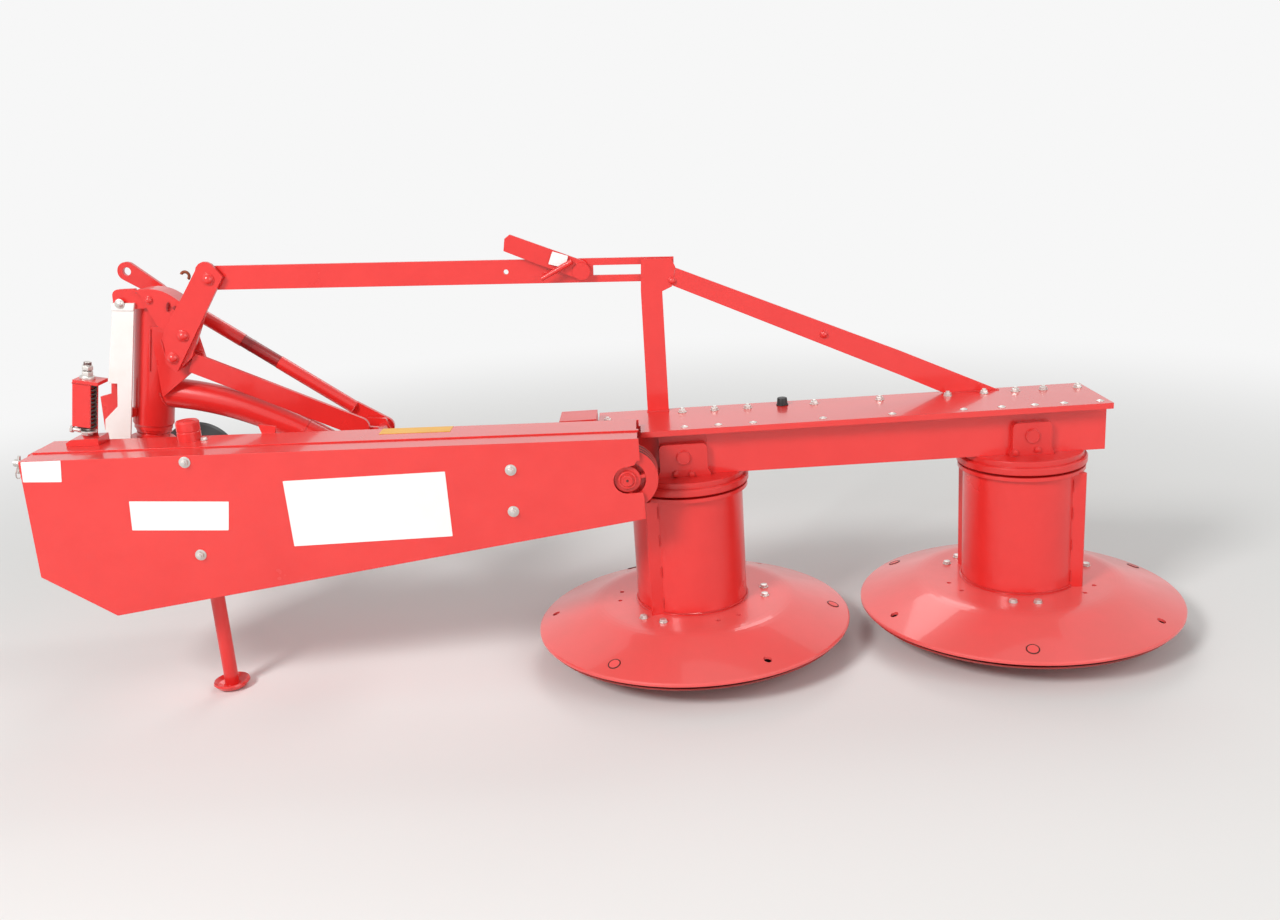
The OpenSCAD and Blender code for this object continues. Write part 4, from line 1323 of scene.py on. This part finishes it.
@dataclass
class Headstock:
    """The three-point headstock that the arm swings on.

    Attributes:
        bar: the cross bar's middle, right and forward of the mast's foot and up it.
        bar_half: half of the bar's thickness.
        half: half of the distance between the lower pins' shoulders.
        linch_out: how far past a shoulder the linch pin stands.
        tower_half: half of the distance between the top link's plates.
        link_hole: half of the distance between the outsides of these plates, and the holes' height over the bar.
    """

    bar: Triple = (-105.0, 280.0, -235.0)
    bar_half: float = 35.0
    half: float = 341.0
    linch_out: float = 42.0
    tower_half: float = 30.0
    link_hole: Pair = (35.4, 460.0)

    def dress(self) -> None:
        """Gives the headstock's CAD nodes their finishes."""
        BAR_RED.on("mast_shaft", "headstock_frame", "link_tower")
        ZINC.on("hitch_pins")

    def build(self) -> None:
        """Adds linch pins, the rims of the top link's holes, the welds and the bolt below the mast."""
        (u, v, w), b = self.bar, self.bar_half
        at, up, side = MAST.at, MAST.way(0, 0, 1), MAST.way(1, 0, 0)
        pins = Piece("lower_linch_pins", Body.HEADSTOCK, ZINC)
        for s in (-1, 1):
            LinchPin().add(pins, at(u + s * (self.half + self.linch_out), v, w), -up, spin=90)
        pins.done()
        link = Piece("top_link_pin_bushes", Body.HEADSTOCK, BAR_RED)
        for s in (-1, 1):
            link.ring(at(u + s * self.link_hole[0], v, w + self.link_hole[1]), side, 13.5, 2.4)
        link.done()
        welds = Piece("headstock_welds", Body.HEADSTOCK, BAR_RED)
        for s in (-1, 1):
            for x in (u + s * self.tower_half - 6, u + s * self.tower_half + 6):
                welds.bead([at(x, y, w + b + 1) for y in (v - b + 2, v + b - 2)], r=3.5)
            end = u + s * (self.half - 12)
            ring = [(-b, -b), (b, -b), (b, b), (-b, b), (-b, -b)]
            welds.bead([at(end, v + dy, w + dz) for dy, dz in ring], r=3.5)
        foot = [(-110, -24), (-60, -24), (-60, 30)]
        welds.bead([at(x, v - b - 1, w + dz) for x, dz in foot], r=3.5)
        welds.bead([at(-110, 16, -112), at(-60, 16, -112)], r=3.5)
        welds.arc_bead(at(0, 0, -74), up, 38, r=3.5)
        welds.done()
        cap = Piece("mast_foot_bolt", Body.HEADSTOCK, ZINC)
        M20.add(cap, at(0, 0, -112.5), -up, spin=10)
        cap.done()


@dataclass
class ParkingLeg:
    """The leg that the mower parks on.

    Attributes:
        x: place of its axis, with y how far forward.
    """

    x: float = -1160.0
    y: float = -95.0

    def dress(self) -> None:
        """Gives the leg's CAD nodes their finishes."""
        BAR_RED.on("parking_leg", "leg_sleeve")

    def build(self) -> None:
        """Adds the weld at the foot and the sleeve's set screws."""
        weld = Piece("leg_foot_weld", Body.LEG, BAR_RED)
        weld.arc_bead((self.x, self.y, 7), UP, 18, r=3)
        weld.done()
        screws = Piece("leg_sleeve_screws", Body.CUTTER, ZINC)
        M8.add(screws, (self.x + 36, self.y - 8, 637.6), UP, spin=10)
        M8.add(screws, (self.x, self.y + 26, 655), FORE, spin=10)
        screws.done()


# Studio


@dataclass
class Studio:
    """Pale floor, soft lamps and the camera.

    Attributes:
        lens_mm: focal length on a 36 mm wide sensor.
        camera_at: the camera's place.
        yaw: turn about the vertical, in radians.
        pitch: tilt below the horizon.
        roll: lean to the right.
        floor_half: half of the floor's side, in metres.
        floor_drop: how far the floor lies under the machine.
        floor_colour: the floor's colour near the machine.
        fade: where the floor starts and ends to fade into the backdrop.
        backdrop: brightness of the backdrop as it is seen.
        ambient: light that the surround gives.
        aim: point that the lamps look at.
    """

    lens_mm: float = 36 * 1167.386 / 1280
    camera_at: Triple = (-60.286, -2748.463, 1266.466)
    yaw: float = 0.018
    pitch: float = 0.274
    roll: float = -0.067
    floor_half: float = 40.0
    floor_drop: float = 0.0005
    floor_colour: str = "#E8E8E6"
    fade: Pair = (1.6, 4.6)
    backdrop: float = 0.93
    ambient: float = 0.38
    aim: Triple = (0.0, 0.0, 0.4)

    def seen(self, tree: bpy.types.NodeTree) -> bpy.types.NodeSocket:
        """Tells where the camera looks, directly or by a reflection.

        Args:
            tree: the node tree that asks.

        Returns:
            Socket that is 1 there.
        """
        node = partial(add_node, tree)
        rays = node("ShaderNodeLightPath").outputs
        largest = {".operation": "MAXIMUM"}
        both = node("ShaderNodeMath", largest, {0: rays["Is Camera Ray"], 1: rays["Is Glossy Ray"]})
        return node("ShaderNodeMath", largest, {0: both, 1: rays["Is Transmission Ray"]}).outputs[0]

    def floor_finish(self) -> bpy.types.Material:
        """Pale matt floor that is seen to fade into the backdrop away from the machine.

        Returns:
            The material.
        """
        made = bpy.data.materials.new("pale_matt_floor")
        tree = bare_tree(made)
        node = partial(add_node, tree)
        where = node("ShaderNodeTexCoord").outputs["Object"]
        reach = node("ShaderNodeVectorMath", {".operation": "LENGTH"}, {0: where}).outputs["Value"]
        span = {".interpolation_type": "SMOOTHSTEP", "From Min": self.fade[0], "From Max": self.fade[1]}
        fade = node("ShaderNodeMapRange", span, {"Value": reach})
        blend = node("ShaderNodeMath", {".operation": "MULTIPLY"}, {0: fade, 1: self.seen(tree)})
        matt = {"Base Color": linear(self.floor_colour), "Roughness": 0.9, "Specular IOR Level": 0.1}
        lit = node("ShaderNodeBsdfPrincipled", matt)
        glow = node("ShaderNodeEmission", {"Color": linear("#FFFFFF"), "Strength": self.backdrop})
        mixed = node("ShaderNodeMixShader", links={0: blend, 1: lit, 2: glow})
        node("ShaderNodeOutputMaterial", links={"Surface": mixed})
        return made

    def floor(self) -> None:
        """Lays the floor."""
        mesh = bmesh.new()
        bmesh.ops.create_grid(mesh, x_segments=1, y_segments=1, size=self.floor_half)
        bmesh.ops.translate(mesh, verts=mesh.verts, vec=(0, 0, -self.floor_drop))
        data = bpy.data.meshes.new("studio_floor")
        mesh.to_mesh(data)
        mesh.free()
        floor = bpy.data.objects.new("studio_floor", data)
        bpy.context.scene.collection.objects.link(floor)
        data.materials.append(self.floor_finish())

    def sky(self) -> None:
        """Sets an even pale surround, which the camera and reflections see as white."""
        world = bpy.data.worlds.new("studio")
        bpy.context.scene.world = world
        tree = bare_tree(world)
        node = partial(add_node, tree)
        levels = {"To Min": self.ambient, "To Max": self.backdrop}
        glow = node("ShaderNodeMapRange", levels, {"Value": self.seen(tree)})
        back = node("ShaderNodeBackground", {"Color": linear("#FFFFFF")}, {"Strength": glow})
        node("ShaderNodeOutputWorld", links={"Surface": back})

    def lamp(self, name: str, at: Triple, size: float, power: float) -> None:
        """Hangs a soft square lamp that looks at the machine's middle.

        Args:
            name: the lamp's name.
            at: its place in metres.
            size: its side in metres.
            power: its power in watts.
        """
        data = bpy.data.lights.new(name, "AREA")
        data.size = size
        data.energy = power
        made = bpy.data.objects.new(name, data)
        made.location = at
        made.rotation_euler = (Vector(self.aim) - Vector(at)).to_track_quat("-Z", "Y").to_euler()
        bpy.context.scene.collection.objects.link(made)

    def camera(self) -> None:
        """Sets the camera where the photograph was taken from."""
        data = bpy.data.cameras.new("camera")
        data.sensor_fit = "HORIZONTAL"
        data.sensor_width = 36
        data.lens = self.lens_mm
        data.clip_end = 100
        made = bpy.data.objects.new("camera", data)
        yaw, roll = (Matrix.Rotation(angle, 4, "Z") for angle in (self.yaw, self.roll))
        tilt = Matrix.Rotation(math.pi / 2 - self.pitch, 4, "X")
        made.matrix_world = Matrix.Translation(place(self.camera_at)) @ yaw @ tilt @ roll
        bpy.context.scene.collection.objects.link(made)
        bpy.context.scene.camera = made

    def build(self) -> None:
        """Sets up the whole studio."""
        self.floor()
        self.sky()
        self.lamp("key_lamp", (-3.2, -4.2, 4.2), 1.6, 270)
        self.lamp("fill_lamp", (3.5, -3.5, 2.5), 3.5, 80)
        self.lamp("back_lamp", (1.0, 4.5, 5.5), 3.0, 90)
        self.camera()
        bpy.context.scene.view_settings.view_transform = "Standard"


def main() -> None:
    """Dresses the machine, adds the pieces and sets the studio."""
    logging.basicConfig(level=logging.INFO, format="%(message)s")
    assemblies = [
        CuttingUnit("inner", Body.DRUM_INNER, Body.SKID_INNER, 0.0, 116.3, 230.3),
        CuttingUnit("outer", Body.DRUM_OUTER, Body.SKID_OUTER, DRUM_SPACING, 138.1, 320.7),
        Beam(),
        BeltGuard(),
        Pulleys(),
        Tensioner(),
        SwingArm(),
        TieBar(),
        Headstock(),
        ParkingLeg(),
    ]
    for assembly in assemblies:
        LOG.info("%s", type(assembly).__name__)
        assembly.dress()
        assembly.build()
    Studio().build()


if __name__ == "__main__":
    main()
